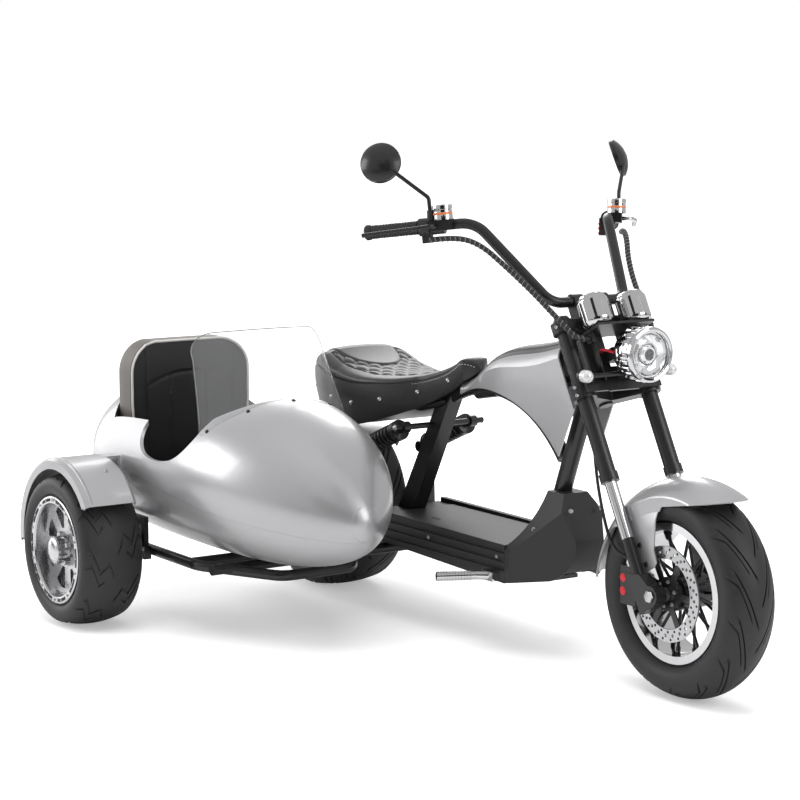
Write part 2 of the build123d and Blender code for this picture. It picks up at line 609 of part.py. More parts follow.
def cowl(inset):
    """The wedge that closes the deck's front and rises to the down tube."""
    half = FLOOR_HALF + GAP + DECK_WALL + SIDE_THICK
    rear = DECK_FRONT + GAP - inset * 4
    side_view = outline(
        (rear, 188 - inset * 4), (1046, 206 - inset * 4), ((1092 - inset, 244), (1106 - inset, 312)),
        (1050 - inset, 420 - inset), (984 + inset, 420 - inset), ((972 + inset, 336), (rear, 284 - inset)),
    )
    solid = slab(side_view, -half - 10, half + 10)
    plan = make_face(Polyline(
        (rear, half - inset), (DECK_FRONT + 20, half - inset), (1110, 42 - inset), (1110, -42 + inset),
        (DECK_FRONT + 20, -half + inset), (rear, -half + inset), close=True,
    ))
    front_view = make_face(Polyline(
        (-half + inset, 150), (half - inset, 150), (half - inset, 270 - inset), (34 - inset, 424),
        (-34 + inset, 424), (-half + inset, 270 - inset), close=True,
    ))
    return solid & extrude(plan, amount=500) & extrude(Plane.YZ.offset(800) * front_view, amount=400)


# Tank sections: x, half width, shoulder height, top height
TANK_SECTIONS = (
    (596.0, 30.0, 630.0, 656.0),
    (660.0, 38.0, 648.0, 676.0),
    (740.0, 55.0, 690.0, 724.0),
    (850.0, 64.0, 716.0, 762.0),
    (980.0, 62.0, 736.0, 785.0),
    (1150.0, 58.0, 742.0, 792.0),
)
TANK_BOTTOM = 470.0
TANK_WALL = 4.0


def tank_form(grow):
    """The tank cover's outer form: arched sections along the frame."""
    sections = []
    for x, half, shoulder, top in TANK_SECTIONS:
        sections.append(Plane.YZ.offset(x) * outline(
            (-half - grow, TANK_BOTTOM), (-half - grow, shoulder),
            ((0, top + grow), (half + grow, shoulder)), (half + grow, TANK_BOTTOM),
        ))
    return loft(sections)


def tank():
    """Tank cover that straddles the frame, and the dark strip along its top."""
    front_top = FORK.from_local_coords(Vector(-46, 0, 700))
    mask = slab(outline(
        (598, 618), ((800, 646), (1058, 517)), (1116, 640), (front_top.X, front_top.Z),
        (front_top.X, 900), (598, 900),
    ), -120, 120)
    nodes["tank_cover"] = (tank_form(0) - tank_form(-TANK_WALL)) & mask
    strip = tank_form(3 + GAP) - tank_form(GAP)
    strip_face = make_face(Polyline(
        (690, -20), (800, -32), (1042, -34), (1042, 34), (800, 32), (690, 20), close=True,
    ))
    nodes["tank_strip"] = strip & extrude(Pos(0, 0, 650) * strip_face, amount=300)


def saddle():
    """Scooped saddle with a raised tail and a long nose."""
    side_view = outline(
        (0, 566), (2, 640), ((40, 686), (96, 693)), ((400, 650), (596, 704)), ((646, 702), (654, 684)),
        (636, 664), ((480, 580), (250, 503)), (100, 514),
    )
    form = slab(side_view, -200, 200) & saddle_plan(0)
    hollow_view = outline(
        (30, 480), (30, SEAT_RAIL_TOP), (430, SEAT_RAIL_TOP), (540, 640), (588, 661), (648, 680), (648, 480),
    )
    nodes["saddle"] = form - (slab(hollow_view, -200, 200) & saddle_plan(7))


def saddle_plan(inset):
    """The saddle seen from above: wide at the back, drawn in to a narrow nose."""
    back = inset
    return Pos(0, 0, 400) * extrude(outline(
        (back, 96 - inset), ((60, 138 - inset), (170, 150 - inset)), ((330, 128 - inset), (450, 66 - inset)),
        ((540, 46 - inset), (620, 42 - inset)), ((656 - inset, 0), (620, -42 + inset)),
        ((540, -46 + inset), (450, -66 + inset)), ((330, -128 + inset), (170, -150 + inset)),
        ((60, -138 + inset), (back, -96 + inset)),
    ), amount=400)


def rear_end():
    """Swing arms with shock lugs, coil-over shocks, the rear fender with its lamp, and the axle with stand stubs."""
    arm_low = REAR_TYRE["half"] + 11
    arm_high = arm_low + 26
    axle_z = REAR_TYRE["radius"]
    arm = slab(outline(
        (REAR_X - 30, axle_z - 18), (REAR_X, axle_z - 22), (264, 220), ((284, 240), (264, 260)), (232, 262),
        (226, 430), ((215, 436), (204, 430)), (150, 266), (REAR_X, axle_z + 22), (REAR_X - 30, axle_z + 18),
    ), arm_low, arm_high)
    arm -= rod((264, 100, 240), (264, 160, 240), 12 + GAP)
    arm -= rod((REAR_X, 100, axle_z), (REAR_X, 160, axle_z), AXLE_R + GAP)
    shock_low = (215.0, 420.0)
    shock_high = (458.0, 520.0)
    arm += rod((shock_low[0], arm_low - 21, shock_low[1]), (shock_low[0], arm_high - 1, shock_low[1]), 8)
    nodes["swingarms"] = Part() + [arm, mirrored(arm)]
    run = hypot(shock_high[0] - shock_low[0], shock_high[1] - shock_low[1])
    shock_y = arm_low - GAP - 10
    nodes["rear_shocks"] = Part() + shocks(shock_low, shock_high, run, shock_y)
    fender()
    stub_end = arm_high + STAND_STUB
    axle = rod((REAR_X, -arm_high, axle_z), (REAR_X, arm_high, axle_z), AXLE_R)
    axle += rod((REAR_X, -stub_end, axle_z), (REAR_X, stub_end, axle_z), STAND_STUB_R)
    inner = MOTOR_HALF + 12 + RUN_GAP
    for side in (-1, 1):
        axle += rod((REAR_X, side * inner, axle_z), (REAR_X, side * (arm_low - GAP), axle_z), AXLE_R + 8)
    nodes["rear_axle"] = axle


def shocks(low, high, run, y):
    """Two coil-over shocks: an eye at each end and a spring as a row of round coils on its body."""
    plane = Plane(origin=(low[0], y, low[1]), x_dir=(0, 1, 0), z_dir=(high[0] - low[0], 0, high[1] - low[1]))
    coil_start = 46.0
    coil_step = 17.0
    coil_count = 10
    steps = []
    for coil in range(coil_count):
        base = coil_start + coil * coil_step
        steps.append(((28, base + coil_step * 0.5), (20, base + coil_step)))
    profile = outline(
        (0, 10), (9, 10), (9, 36), (28, 40), (28, coil_start), (20, coil_start), *steps,
        (28, coil_start + coil_count * coil_step), (28, run - 26), (9, run - 20), (9, run - 10), (0, run - 10),
    )
    body = plane * revolve(Plane.XZ * profile, axis=Axis.Z)
    eyes = []
    for place in (low, high):
        eyes.append(rod((place[0], y - 10, place[1]), (place[0], y + 10, place[1]), 15))
    bores = []
    for place in (low, high):
        bores.append(rod((place[0], y - 40, place[1]), (place[0], y + 40, place[1]), 8 + GAP))
    one = body + eyes - bores
    return [one, mirrored(one)]


def fender():
    """Rear fender hung on a strap at each side, and its tail lamp."""
    inner_r = REAR_TYRE["radius"] + 14
    wall = 3.0
    half = REAR_TYRE["half"] + 6
    first_angle = 48.0
    last_angle = 150.0
    section = outline(
        (inner_r - 30, -half), (inner_r - 14, -half), ((inner_r + wall, 0), (inner_r - 14, half)),
        (inner_r - 30, half), (inner_r - 30, half - wall), (inner_r - 15, half - wall),
        ((inner_r, 0), (inner_r - 15, -half + wall)), (inner_r - 30, -half + wall),
    )
    centre = Pos(REAR_X, 0, REAR_TYRE["radius"])
    shell = revolve(Rot(0, -first_angle, 0) * section, axis=-Axis.Y, revolution_arc=last_angle - first_angle)
    straps = []
    for side in (-1, 1):
        low_y, high_y = sorted((side * half, side * (half + 5 - GAP)))
        straps.append(block((-52, low_y, 8), (-22, high_y, inner_r - 20)))
    nodes["rear_fender"] = centre * (shell + straps)
    lamp_angle = 138.0
    lamp = block((inner_r + wall + GAP, -42, -16), (inner_r + wall + 24, 42, 20))
    nodes["tail_lamp"] = centre * (Rot(0, -lamp_angle, 0) * lamp)


# Hull sections: x, half width, height of the middle, half height
HULL_SECTIONS = (
    (-330.0, 120.0, 420.0, 100.0),
    (-270.0, 214.0, 414.0, 176.0),
    (-80.0, 264.0, 412.0, 216.0),
    (200.0, 272.0, 412.0, 222.0),
    (440.0, 252.0, 406.0, 212.0),
    (600.0, 200.0, 388.0, 178.0),
    (720.0, 122.0, 364.0, 118.0),
    (790.0, 44.0, 348.0, 46.0),
)


def hull_form(inset):
    """The sidecar body's outer form: oval sections from tail to nose."""
    last = len(HULL_SECTIONS) - 1
    sections = []
    for index, (x, half, middle, tall) in enumerate(HULL_SECTIONS):
        end_shift = {0: inset, last: -inset}.get(index, 0)
        place = Plane(origin=(x + end_shift, HULL_Y, middle), x_dir=(0, 1, 0), z_dir=(1, 0, 0))
        sections.append(place * Ellipse(half - inset, tall - inset))
    return loft(sections)


def sidecar_body():
    """Hull in a lower and an upper half, seat, backrest and windscreen."""
    outer = hull_form(0)
    shell = outer - hull_form(HULL_WALL)
    bottom_cut = block((-500, -900, 0), (1000, 0, HULL_FLOOR + GAP))
    floor = outer & block((-500, -900, HULL_FLOOR + GAP), (1000, 0, HULL_FLOOR + GAP + HULL_WALL))
    shell = shell - bottom_cut + floor
    split = slab(outline((-500, 60), (1000, 60), (1000, 270), (-500, 480)), -900, 0)
    nodes["sidecar_lower_hull"] = shell & split
    upper = shell - Pos(0, 0, GAP) * split
    cockpit_half = 222.0
    plan = outline(
        (-120, HULL_Y - cockpit_half), (300, HULL_Y - cockpit_half),
        ((428, HULL_Y), (300, HULL_Y + cockpit_half)), (-120, HULL_Y + cockpit_half),
        ((-236, HULL_Y), (-120, HULL_Y - cockpit_half)),
    )
    upper -= Pos(0, 0, 470) * extrude(plan, amount=400)
    notch = outline(
        (70, 800), (86, 560), ((92, 486), (132, 458)), ((190, 450), (246, 455)), ((300, 474), (345, 530)),
        (420, 800),
    )
    upper -= slab(notch, HULL_Y - 400, HULL_Y - 60)
    nodes["sidecar_upper_hull"] = upper
    seat_z = HULL_FLOOR + HULL_WALL + 2 * GAP
    seat_top = seat_z + 140
    seat = block((-200, HULL_Y - 190, seat_z), (270, HULL_Y + 190, seat_top))
    nodes["sidecar_seat"] = seat & hull_form(HULL_WALL + GAP)
    back_low = seat_top + GAP
    back_high = 727.0
    back_half = 182.0
    back_face = outline(
        (-back_half + 14, back_low), (-back_half, 560), (-back_half, 640),
        ((-back_half + 26, 704), (-back_half + 96, back_high)), (back_half - 96, back_high),
        ((back_half - 26, 704), (back_half, 640)), (back_half, 560), (back_half - 14, back_low),
    )
    back_plan = outline(
        (-150, -200), (-66, -200), ((-88, 0), (-66, 200)), (-150, 200), ((-164, 0), (-150, -200)),
    )
    backrest = Pos(0, BACKREST_Y, 0) * (
        extrude(Plane.YZ.offset(-300) * back_face, amount=400) & extrude(back_plan, amount=1000)
    )
    nodes["sidecar_backrest"] = backrest
    screen_r = 250.0
    screen_wall = 5.0
    screen_low = (309.0, 430.0)
    screen_high = (79.0, 790.0)
    screen = []
    for radius in (screen_r, screen_r - screen_wall):
        rings = [Pos(x, HULL_Y, z) * Circle(radius) for x, z in (screen_low, screen_high)]
        screen.append(loft(rings))
    keep = extrude(Plane.YZ.offset(180) * (Pos(HULL_Y, 0) * outline(
        (-238, 400), (-196, 716), ((-182, 762), (-138, 784)), ((0, 790), (138, 784)),
        ((182, 762), (196, 716)), (238, 400),
    )), amount=400)
    nodes["sidecar_windscreen"] = (screen[0] - screen[1]) & keep - outer


def sidecar_frame():
    """Tubular hoop under the hull with two cross tubes that run on under the scooter's floor, and the wheel's axle."""
    cross_z = FLOOR_Z - GAP - RAIL_R
    right_y = HULL_Y - RAIL_HALF
    left_y = HULL_Y + RAIL_HALF
    front_z = 168.0
    front_x = 476.0
    hoop = tube([
        (-60, right_y, cross_z), (300, right_y, cross_z), (front_x, right_y + 150, front_z),
        (front_x, left_y - 40, front_z), (front_x - 66, left_y, cross_z), (230, left_y, cross_z),
    ], RAIL_R, [60, 60, 36, 36])
    bars = []
    for x in (260.0, 372.0):
        bars.append(rod((x, right_y, cross_z), (x, -40, cross_z), RAIL_R))
    wheel_z = SIDE_TYRE["radius"]
    plate = block((-46, right_y - 30, cross_z - 22), (60, right_y - 10, cross_z + RAIL_R))
    plate += block((-46, right_y - 30, cross_z), (60, right_y - RAIL_R - 3, wheel_z + 72))
    nodes["sidecar_frame"] = Part() + [hoop, *bars, plate]
    stub_in = right_y - 30 - GAP
    axle = rod((0, stub_in, wheel_z), (0, SIDE_WHEEL_Y + SIDE_CAP_Y + 14, wheel_z), AXLE_R)
    axle += rod((0, stub_in, wheel_z), (0, SIDE_WHEEL_Y + 56 + RUN_GAP, wheel_z), 24)
    nodes["sidecar_axle"] = axle


def sidecar_fender():
    """Fender over the sidecar wheel with turned-down edges, on a strap that stands on the frame's plate."""
    inner_r = SIDE_TYRE["radius"] + 22
    lift = 14.0
    wall = 3.0
    low_y = -78.0
    high_y = 68.0
    first_angle = 34.0
    last_angle = 186.0
    section = outline(
        (inner_r - 14, low_y), (inner_r - 14, low_y + wall), (inner_r - 6, low_y + wall),
        (inner_r, low_y + 12), (inner_r, high_y - 12), (inner_r - 6, high_y - wall), (inner_r - 14, high_y - wall),
        (inner_r - 14, high_y), (inner_r - 4, high_y), (inner_r + wall, high_y - 10), (inner_r + wall, low_y + 10),
        (inner_r - 4, low_y),
    )
    shell = revolve(Rot(0, -first_angle, 0) * section, axis=-Axis.Y, revolution_arc=last_angle - first_angle)
    # A flat strap stands on the frame's plate, clears the tyre's inner wall and folds over under the shell.
    strap_y = SIDE_TYRE["half"] + 10
    frame_y = HULL_Y - RAIL_HALF - 30 - GAP - SIDE_WHEEL_Y
    strap_top = inner_r - 1
    strap = block((-24, strap_y, 38 - lift), (24, strap_y + 6, strap_top))
    strap += block((-24, high_y - 40, strap_top - 5), (24, strap_y + 6, strap_top + 1))
    strap += block((-24, strap_y, 38 - lift), (24, frame_y, 64 - lift))
    nodes["sidecar_fender"] = Pos(0, SIDE_WHEEL_Y, SIDE_TYRE["radius"] + lift) * (shell + strap)


front_wheel()
rear_wheel()
side_wheel()
fork()
front_fender()
brake()
handlebar()
lamps()
main_frame()
deck()
tank()
saddle()
rear_end()
sidecar_body()
sidecar_frame()
sidecar_fender()

whole = Compound(children=[Part(shape.wrapped) for shape in nodes.values()]).bounding_box()
ORIGIN_SHIFT = Vector(-whole.center().X, -whole.center().Y, -whole.min.Z)
STEER_POINT = STEER_ORIGIN + ORIGIN_SHIFT
STEER_AXIS = FORK.z_dir
AXLES = {
    "front_wheel": Vector(FRONT_X, 0, FRONT_TYRE["radius"]) + ORIGIN_SHIFT,
    "rear_wheel": Vector(REAR_X, 0, REAR_TYRE["radius"]) + ORIGIN_SHIFT,
    "sidecar_wheel": Vector(0, SIDE_WHEEL_Y, SIDE_TYRE["radius"]) + ORIGIN_SHIFT,
}

os.makedirs("parts", exist_ok=True)
for name, shape in nodes.items():
    export_step(Pos(ORIGIN_SHIFT) * shape, os.path.join("parts", name + ".step"))
print("box", whole.size, "shift", ORIGIN_SHIFT, "steering", STEER_POINT, STEER_AXIS, "axles", AXLES)
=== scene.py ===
"""Looks of an electric scooter with a sidecar: finishes, tread, leather, hardware, cables and studio."""

from __future__ import annotations

import json
import logging
import math
from dataclasses import dataclass
from enum import Enum
from typing import ClassVar, Sequence

import bmesh
import bpy
import numpy as np
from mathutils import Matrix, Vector
from mathutils.bvhtree import BVHTree

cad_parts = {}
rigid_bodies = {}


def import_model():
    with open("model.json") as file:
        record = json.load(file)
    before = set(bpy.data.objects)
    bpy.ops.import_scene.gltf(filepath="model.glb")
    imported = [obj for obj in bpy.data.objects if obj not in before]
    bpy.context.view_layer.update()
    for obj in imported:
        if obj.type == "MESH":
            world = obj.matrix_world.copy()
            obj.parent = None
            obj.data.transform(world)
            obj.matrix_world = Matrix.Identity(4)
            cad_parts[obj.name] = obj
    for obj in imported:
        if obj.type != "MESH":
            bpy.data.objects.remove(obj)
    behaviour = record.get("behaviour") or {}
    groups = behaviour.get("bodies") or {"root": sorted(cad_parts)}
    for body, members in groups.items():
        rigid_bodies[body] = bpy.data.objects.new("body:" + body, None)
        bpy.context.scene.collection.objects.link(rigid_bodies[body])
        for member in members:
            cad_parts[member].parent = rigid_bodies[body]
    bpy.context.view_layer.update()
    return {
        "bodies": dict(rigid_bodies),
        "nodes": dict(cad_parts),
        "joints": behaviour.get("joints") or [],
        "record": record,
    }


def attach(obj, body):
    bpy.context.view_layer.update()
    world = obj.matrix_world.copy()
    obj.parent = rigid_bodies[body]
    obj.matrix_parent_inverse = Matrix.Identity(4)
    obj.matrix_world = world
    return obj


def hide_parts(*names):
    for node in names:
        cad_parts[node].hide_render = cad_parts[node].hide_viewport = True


LOG = logging.getLogger("scooter")

# Lengths are millimetres in the source's working frame: x forward from the sidecar's axle, y left, z up.
SHIFT = np.array((-695.5, 244.2160577941, 0.0))
TURN = 2.0 * math.pi
FORWARD = (1.0, 0.0, 0.0)
LEFT = (0.0, 1.0, 0.0)
RIGHT = (0.0, -1.0, 0.0)
UP = (0.0, 0.0, 1.0)
Surface = tuple[np.ndarray, np.ndarray]
Triple = tuple[float, float, float]


class Body(Enum):
    """The moving bodies that a piece can ride on."""

    CHASSIS = "chassis"
    STEERING = "steering"
    FRONT_WHEEL = "front_wheel"
    REAR_WHEEL = "rear_wheel"
    SIDECAR_WHEEL = "sidecar_wheel"


class Pattern(Enum):
    """The fine structure that a finish shows close up."""

    MOTTLE = "Mottle"
    PEBBLE = "Pebble"
    BRUSHED = "Brushed"


class Split(Enum):
    """How a two-tone finish is divided on one solid."""

    RADIUS = 1
    PLANE = 2


def to_row(points: np.ndarray) -> np.ndarray:
    """Working-frame millimetres as metres in the shared frame."""
    return (np.asarray(points, dtype=float) + SHIFT) / 1000.0


# Shapes


def unit(vectors: np.ndarray) -> np.ndarray:
    """Vectors divided by their lengths."""
    vectors = np.asarray(vectors, dtype=float)
    return vectors / np.linalg.norm(vectors, axis=-1, keepdims=True)


def sheet(points: np.ndarray, wrap_rows: bool = False, wrap_cols: bool = False) -> Surface:
    """A grid of points joined by four-sided faces.

    Args:
        points: Rows by columns by three coordinates.
        wrap_rows: Whether the last row joins the first.
        wrap_cols: Whether the last column joins the first.

    Returns:
        Flat points and face indices.
    """
    rows, cols = points.shape[:2]
    row = np.arange(rows if wrap_rows else rows - 1)[:, None]
    col = np.arange(cols if wrap_cols else cols - 1)[None, :]
    next_row = (row + 1) % rows
    next_col = (col + 1) % cols
    corners = (row * cols + col, row * cols + next_col, next_row * cols + next_col, next_row * cols + col)
    return points.reshape(-1, 3), np.stack(corners, -1).reshape(-1, 4)


def join(*surfaces: Surface) -> Surface:
    """Several surfaces as one, their face indices moved on by the points before them."""
    starts = np.cumsum([0] + [len(points) for points, _ in surfaces[:-1]])
    faces = [quads + start for (_, quads), start in zip(surfaces, starts)]
    return np.concatenate([points for points, _ in surfaces]), np.concatenate(faces)


def flip(surface: Surface) -> Surface:
    """The mirror image on the scooter's other side."""
    return surface[0] * np.array((1.0, -1.0, 1.0)), surface[1]


def both(surface: Surface) -> Surface:
    """A surface and its mirror image."""
    return join(surface, flip(surface))


def arc(first: Sequence[float], middle: Sequence[float], last: Sequence[float], count: int) -> np.ndarray:
    """Evenly spaced points on the circle through three points of a plane.

    Args:
        first: Where the arc starts.
        middle: A point that it passes.
        last: Where it ends.
        count: Number of points.

    Returns:
        Count by two coordinates.
    """
    corners = np.array((first, middle, last), dtype=float)
    sides = 2.0 * (corners[1:] - corners[0])
    squares = (corners[1:] ** 2).sum(1) - (corners[0] ** 2).sum()
    centre = np.linalg.solve(sides, squares)
    angles = np.unwrap(np.arctan2(*(corners - centre).T[::-1]))
    radius = np.linalg.norm(corners[0] - centre)
    turn = np.linspace(angles[0], angles[2], count)
    return centre + radius * np.stack((np.cos(turn), np.sin(turn)), -1)


def bases(normals: np.ndarray) -> np.ndarray:
    """A right-handed set of axes for each normal: across, along and outwards."""
    outward = unit(np.atleast_2d(normals))
    steep = np.abs(outward[:, 2:3]) > 0.9
    helper = np.where(steep, np.array((1.0, 0.0, 0.0)), np.array((0.0, 0.0, 1.0)))
    across = unit(np.cross(helper, outward))
    return np.stack((across, np.cross(outward, across), outward), 1)


@dataclass(frozen=True)
class Place:
    """A local frame given by its origin, its x axis and its z axis."""

    origin: tuple[float, float, float]
    x: tuple[float, float, float]
    z: tuple[float, float, float]

    def at(self, local: np.ndarray) -> np.ndarray:
        """Local points in the working frame: the origin plus each coordinate along its axis."""
        along = unit(np.array(self.x))
        up = np.array(self.z) - along * np.dot(along, self.z)
        up = unit(up)
        axes = np.stack((along, np.cross(up, along), up))
        return np.asarray(local, dtype=float) @ axes + np.array(self.origin)

    def move(self, surface: Surface) -> Surface:
        """A surface drawn in the local frame, placed."""
        return self.at(surface[0]), surface[1]


def lathe(profile: np.ndarray, segments: int, ring: bool = False) -> Surface:
    """A profile of radius and height turned about the z axis.

    A point is radius times cosine and sine of the angle, at its height.

    Args:
        profile: Radius and height in order; an end of radius 0 closes the shape.
        segments: Number of steps round the axis.
        ring: Whether the profile's end joins its start, as on a hoop.

    Returns:
        The turned surface.
    """
    angle = np.linspace(0.0, TURN, segments, endpoint=False)
    radius, height = np.asarray(profile, dtype=float).T
    points = np.stack(np.broadcast_arrays(
        radius[:, None] * np.cos(angle), radius[:, None] * np.sin(angle), height[:, None]), -1)
    return sheet(points, wrap_rows=ring, wrap_cols=True)


def tube(path: np.ndarray, radius: float | np.ndarray, sides: int = 10) -> Surface:
    """A round bar along a path.

    Each ring lies in the plane across the path's direction, and a ring of radius 0 closes each end.

    Args:
        path: Points in order.
        radius: One radius, or one for each point.
        sides: Corners of the ring.

    Returns:
        The bar's surface.
    """
    path = np.asarray(path, dtype=float)
    radii = np.broadcast_to(np.asarray(radius, dtype=float), len(path))
    heading = unit(np.gradient(path, axis=0))
    path = np.concatenate((path[:1], path, path[-1:]))
    radii = np.concatenate(((0.0,), radii, (0.0,)))
    heading = np.concatenate((heading[:1], heading, heading[-1:]))
    axes = bases(heading)
    angle = np.linspace(0.0, TURN, sides, endpoint=False)
    ring = np.stack((np.cos(angle), np.sin(angle)), -1)
    points = path[:, None] + radii[:, None, None] * np.einsum("sk,nkd->nsd", ring, axes[:, :2])
    return sheet(points, wrap_cols=True)


def plate(edge: np.ndarray, thick: float, bevel: float) -> Surface:
    """A flat plate with softened edges, from z = 0 to its thickness.

    The rings are the outline drawn in by the bevel, the outline twice, and drawn in again; each end closes on
    the middle.

    Args:
        edge: The outline's points in x and y.
        thick: Thickness.
        bevel: How far the edges are softened.

    Returns:
        The plate's surface.
    """
    edge = np.asarray(edge, dtype=float)
    middle = edge.mean(0)
    reach = np.linalg.norm(edge - middle, axis=1).mean()
    drawn = 1.0 - bevel / reach
    scales = np.array((0.0, drawn, 1.0, 1.0, drawn, 0.0))
    heights = np.array((0.0, 0.0, bevel, thick - bevel, thick, thick))
    flat = middle + scales[:, None, None] * (edge - middle)
    points = np.concatenate((flat, np.broadcast_to(heights[:, None, None], flat.shape[:2] + (1,))), -1)
    return sheet(points, wrap_cols=True)


def moved(surface: Surface, offset: Sequence[float]) -> Surface:
    """A surface moved by an offset."""
    return surface[0] + np.array(offset), surface[1]


def slab(low: Sequence[float], high: Sequence[float], bevel: float) -> Surface:
    """A block between two corners with softened edges."""
    (x0, y0, z0), (x1, y1, z1) = low, high
    block = plate(((x0, y0), (x1, y0), (x1, y1), (x0, y1)), z1 - z0, bevel)
    return moved(block, (0.0, 0.0, z0))


def thin_sheet(upper: np.ndarray, lower: np.ndarray) -> Surface:
    """A closed thin sheet between two grids of points, its ends drawn together halfway between them."""
    rings = np.concatenate((upper, lower[:, ::-1]), 1)
    middle = (upper + lower) / 2.0
    ends = np.concatenate((middle, middle[:, ::-1]), 1)
    return sheet(np.concatenate((ends[:1], rings, ends[-1:])), wrap_cols=True)


def copies(template: Surface, axes: np.ndarray, origins: np.ndarray) -> Surface:
    """Copies of a small shape, each on its own axes.

    Args:
        template: The shape about its own origin.
        axes: Three axes for each copy.
        origins: Where the copies go.

    Returns:
        All copies as one surface.
    """
    points = np.einsum("kc,ncd->nkd", template[0], axes) + origins[:, None]
    faces = template[1][None] + (np.arange(len(origins)) * len(template[0]))[:, None, None]
    return points.reshape(-1, 3), faces.reshape(-1, 4)


def spread(template: Surface, origins: Sequence[Sequence[float]], normals: Sequence[float] = UP) -> Surface:
    """Copies of a small shape, its z axis turned to each normal.

    Args:
        template: The shape about its own origin.
        origins: Where the copies go.
        normals: Which way each one stands, or all of them.

    Returns:
        All copies as one surface.
    """
    origins = np.atleast_2d(np.asarray(origins, dtype=float))
    normals = np.broadcast_to(np.asarray(normals, dtype=float), origins.shape)
    return copies(template, bases(normals), origins)


def around(radius: float, count: int, turn: float = 0.0) -> np.ndarray:
    """Points evenly spaced on a circle in the xy plane."""
    angle = np.arange(count) * TURN / count + turn
    return np.stack((radius * np.cos(angle), radius * np.sin(angle), np.zeros(count)), -1)


def ring_copies(template: Surface, radius: float, count: int) -> Surface:
    """Copies of a shape round the z axis, each with its x axis outwards and moved out by the radius."""
    out = around(1.0, count)
    axes = np.stack((out, np.cross(UP, out), np.broadcast_to(UP, out.shape)), 1)
    return copies(template, axes, radius * out)


def lengths(path: np.ndarray) -> np.ndarray:
    """The distance along a path at each of its points."""
    return np.concatenate(((0.0,), np.cumsum(np.linalg.norm(np.diff(path, axis=0), axis=1))))


def walk(path: np.ndarray, run: np.ndarray) -> np.ndarray:
    """Points at given distances along a path."""
    steps = lengths(path)
    return np.stack([np.interp(run, steps, path[:, axis]) for axis in range(3)], -1)


def bolt(radius: float, height: float) -> Surface:
    """A round-headed bolt with a socket: a turned profile that dips in the middle."""
    return lathe(np.array((
        (0.0, height * 0.35), (radius * 0.42, height * 0.35), (radius * 0.5, height), (radius * 0.78, height),
        (radius, height * 0.5), (radius, -1.0), (0.0, -1.0))), 14)


def dome(radius: float, height: float) -> Surface:
    """A low round stud: height falls with the square of the distance from the middle."""
    reach = np.linspace(0.0, 1.0, 6)
    profile = np.stack((radius * reach, height * (1.0 - reach**2)), -1)
    return lathe(np.concatenate((profile, ((radius, -1.0), (0.0, -1.0)))), 14)


def smooth(value: np.ndarray, low: float, high: float) -> np.ndarray:
    """A soft step from 0 at low to 1 at high."""
    step = np.clip((value - low) / (high - low), 0.0, 1.0)
    return step * step * (3.0 - 2.0 * step)


# Finishes


def pattern_group(pattern: Pattern) -> bpy.types.ShaderNodeTree:
    """The node group of a pattern, built once: it mixes two colours and two roughnesses and gives a height.

    Args:
        pattern: Which fine structure.

    Returns:
        A group with inputs Scale, Dark, Light, Smooth and Rough and outputs Colour, Roughness and Height.
    """
    tree = bpy.data.node_groups.get(pattern.value)
    if tree:
        return tree
    tree = bpy.data.node_groups.new(pattern.value, "ShaderNodeTree")
    face = tree.interface
    for name, kind in (("Scale", "Float"), ("Dark", "Color"), ("Light", "Color"), ("Smooth", "Float"),
                       ("Rough", "Float")):
        face.new_socket(name, in_out="INPUT", socket_type="NodeSocket" + kind)
    for name, kind in (("Colour", "Color"), ("Roughness", "Float"), ("Height", "Float")):
        face.new_socket(name, in_out="OUTPUT", socket_type="NodeSocket" + kind)
    new, link = tree.nodes.new, tree.links.new
    enter, leave = new("NodeGroupInput"), new("NodeGroupOutput")
    where = new("ShaderNodeTexCoord").outputs["Object"]
    if pattern is Pattern.BRUSHED:
        squeeze = new("ShaderNodeMapping")
        squeeze.inputs["Scale"].default_value = (1.0, 14.0, 1.0)
        link(where, squeeze.inputs["Vector"])
        where = squeeze.outputs["Vector"]
    noise = new("ShaderNodeTexNoise")
    noise.inputs["Detail"].default_value = 5.0
    link(where, noise.inputs["Vector"])
    link(enter.outputs["Scale"], noise.inputs["Scale"])
    mask = height = noise.outputs["Fac"]
    if pattern is Pattern.PEBBLE:
        cells = new("ShaderNodeTexVoronoi")
        cells.feature = "SMOOTH_F1"
        link(where, cells.inputs["Vector"])
        link(math_node(tree, "MULTIPLY", enter.outputs["Scale"], 3.0), cells.inputs["Scale"])
        height = cells.outputs["Distance"]
    link(mix(tree, mask, enter.outputs["Dark"], enter.outputs["Light"], "RGBA"), leave.inputs["Colour"])
    link(mix(tree, mask, enter.outputs["Smooth"], enter.outputs["Rough"]), leave.inputs["Roughness"])
    link(height, leave.inputs["Height"])
    return tree


def feed(tree: bpy.types.NodeTree, socket: bpy.types.NodeSocket, source: bpy.types.NodeSocket | float) -> None:
    """Gives an input its source: another socket, or a plain number."""
    if isinstance(source, float):
        socket.default_value = source
    else:
        tree.links.new(source, socket)


def math_node(tree: bpy.types.NodeTree, operation: str,
              *sources: bpy.types.NodeSocket | float) -> bpy.types.NodeSocket:
    """The result of a math node fed by sockets or plain numbers."""
    node = tree.nodes.new("ShaderNodeMath")
    node.operation = operation
    for socket, source in zip(node.inputs, sources):
        feed(tree, socket, source)
    return node.outputs[0]


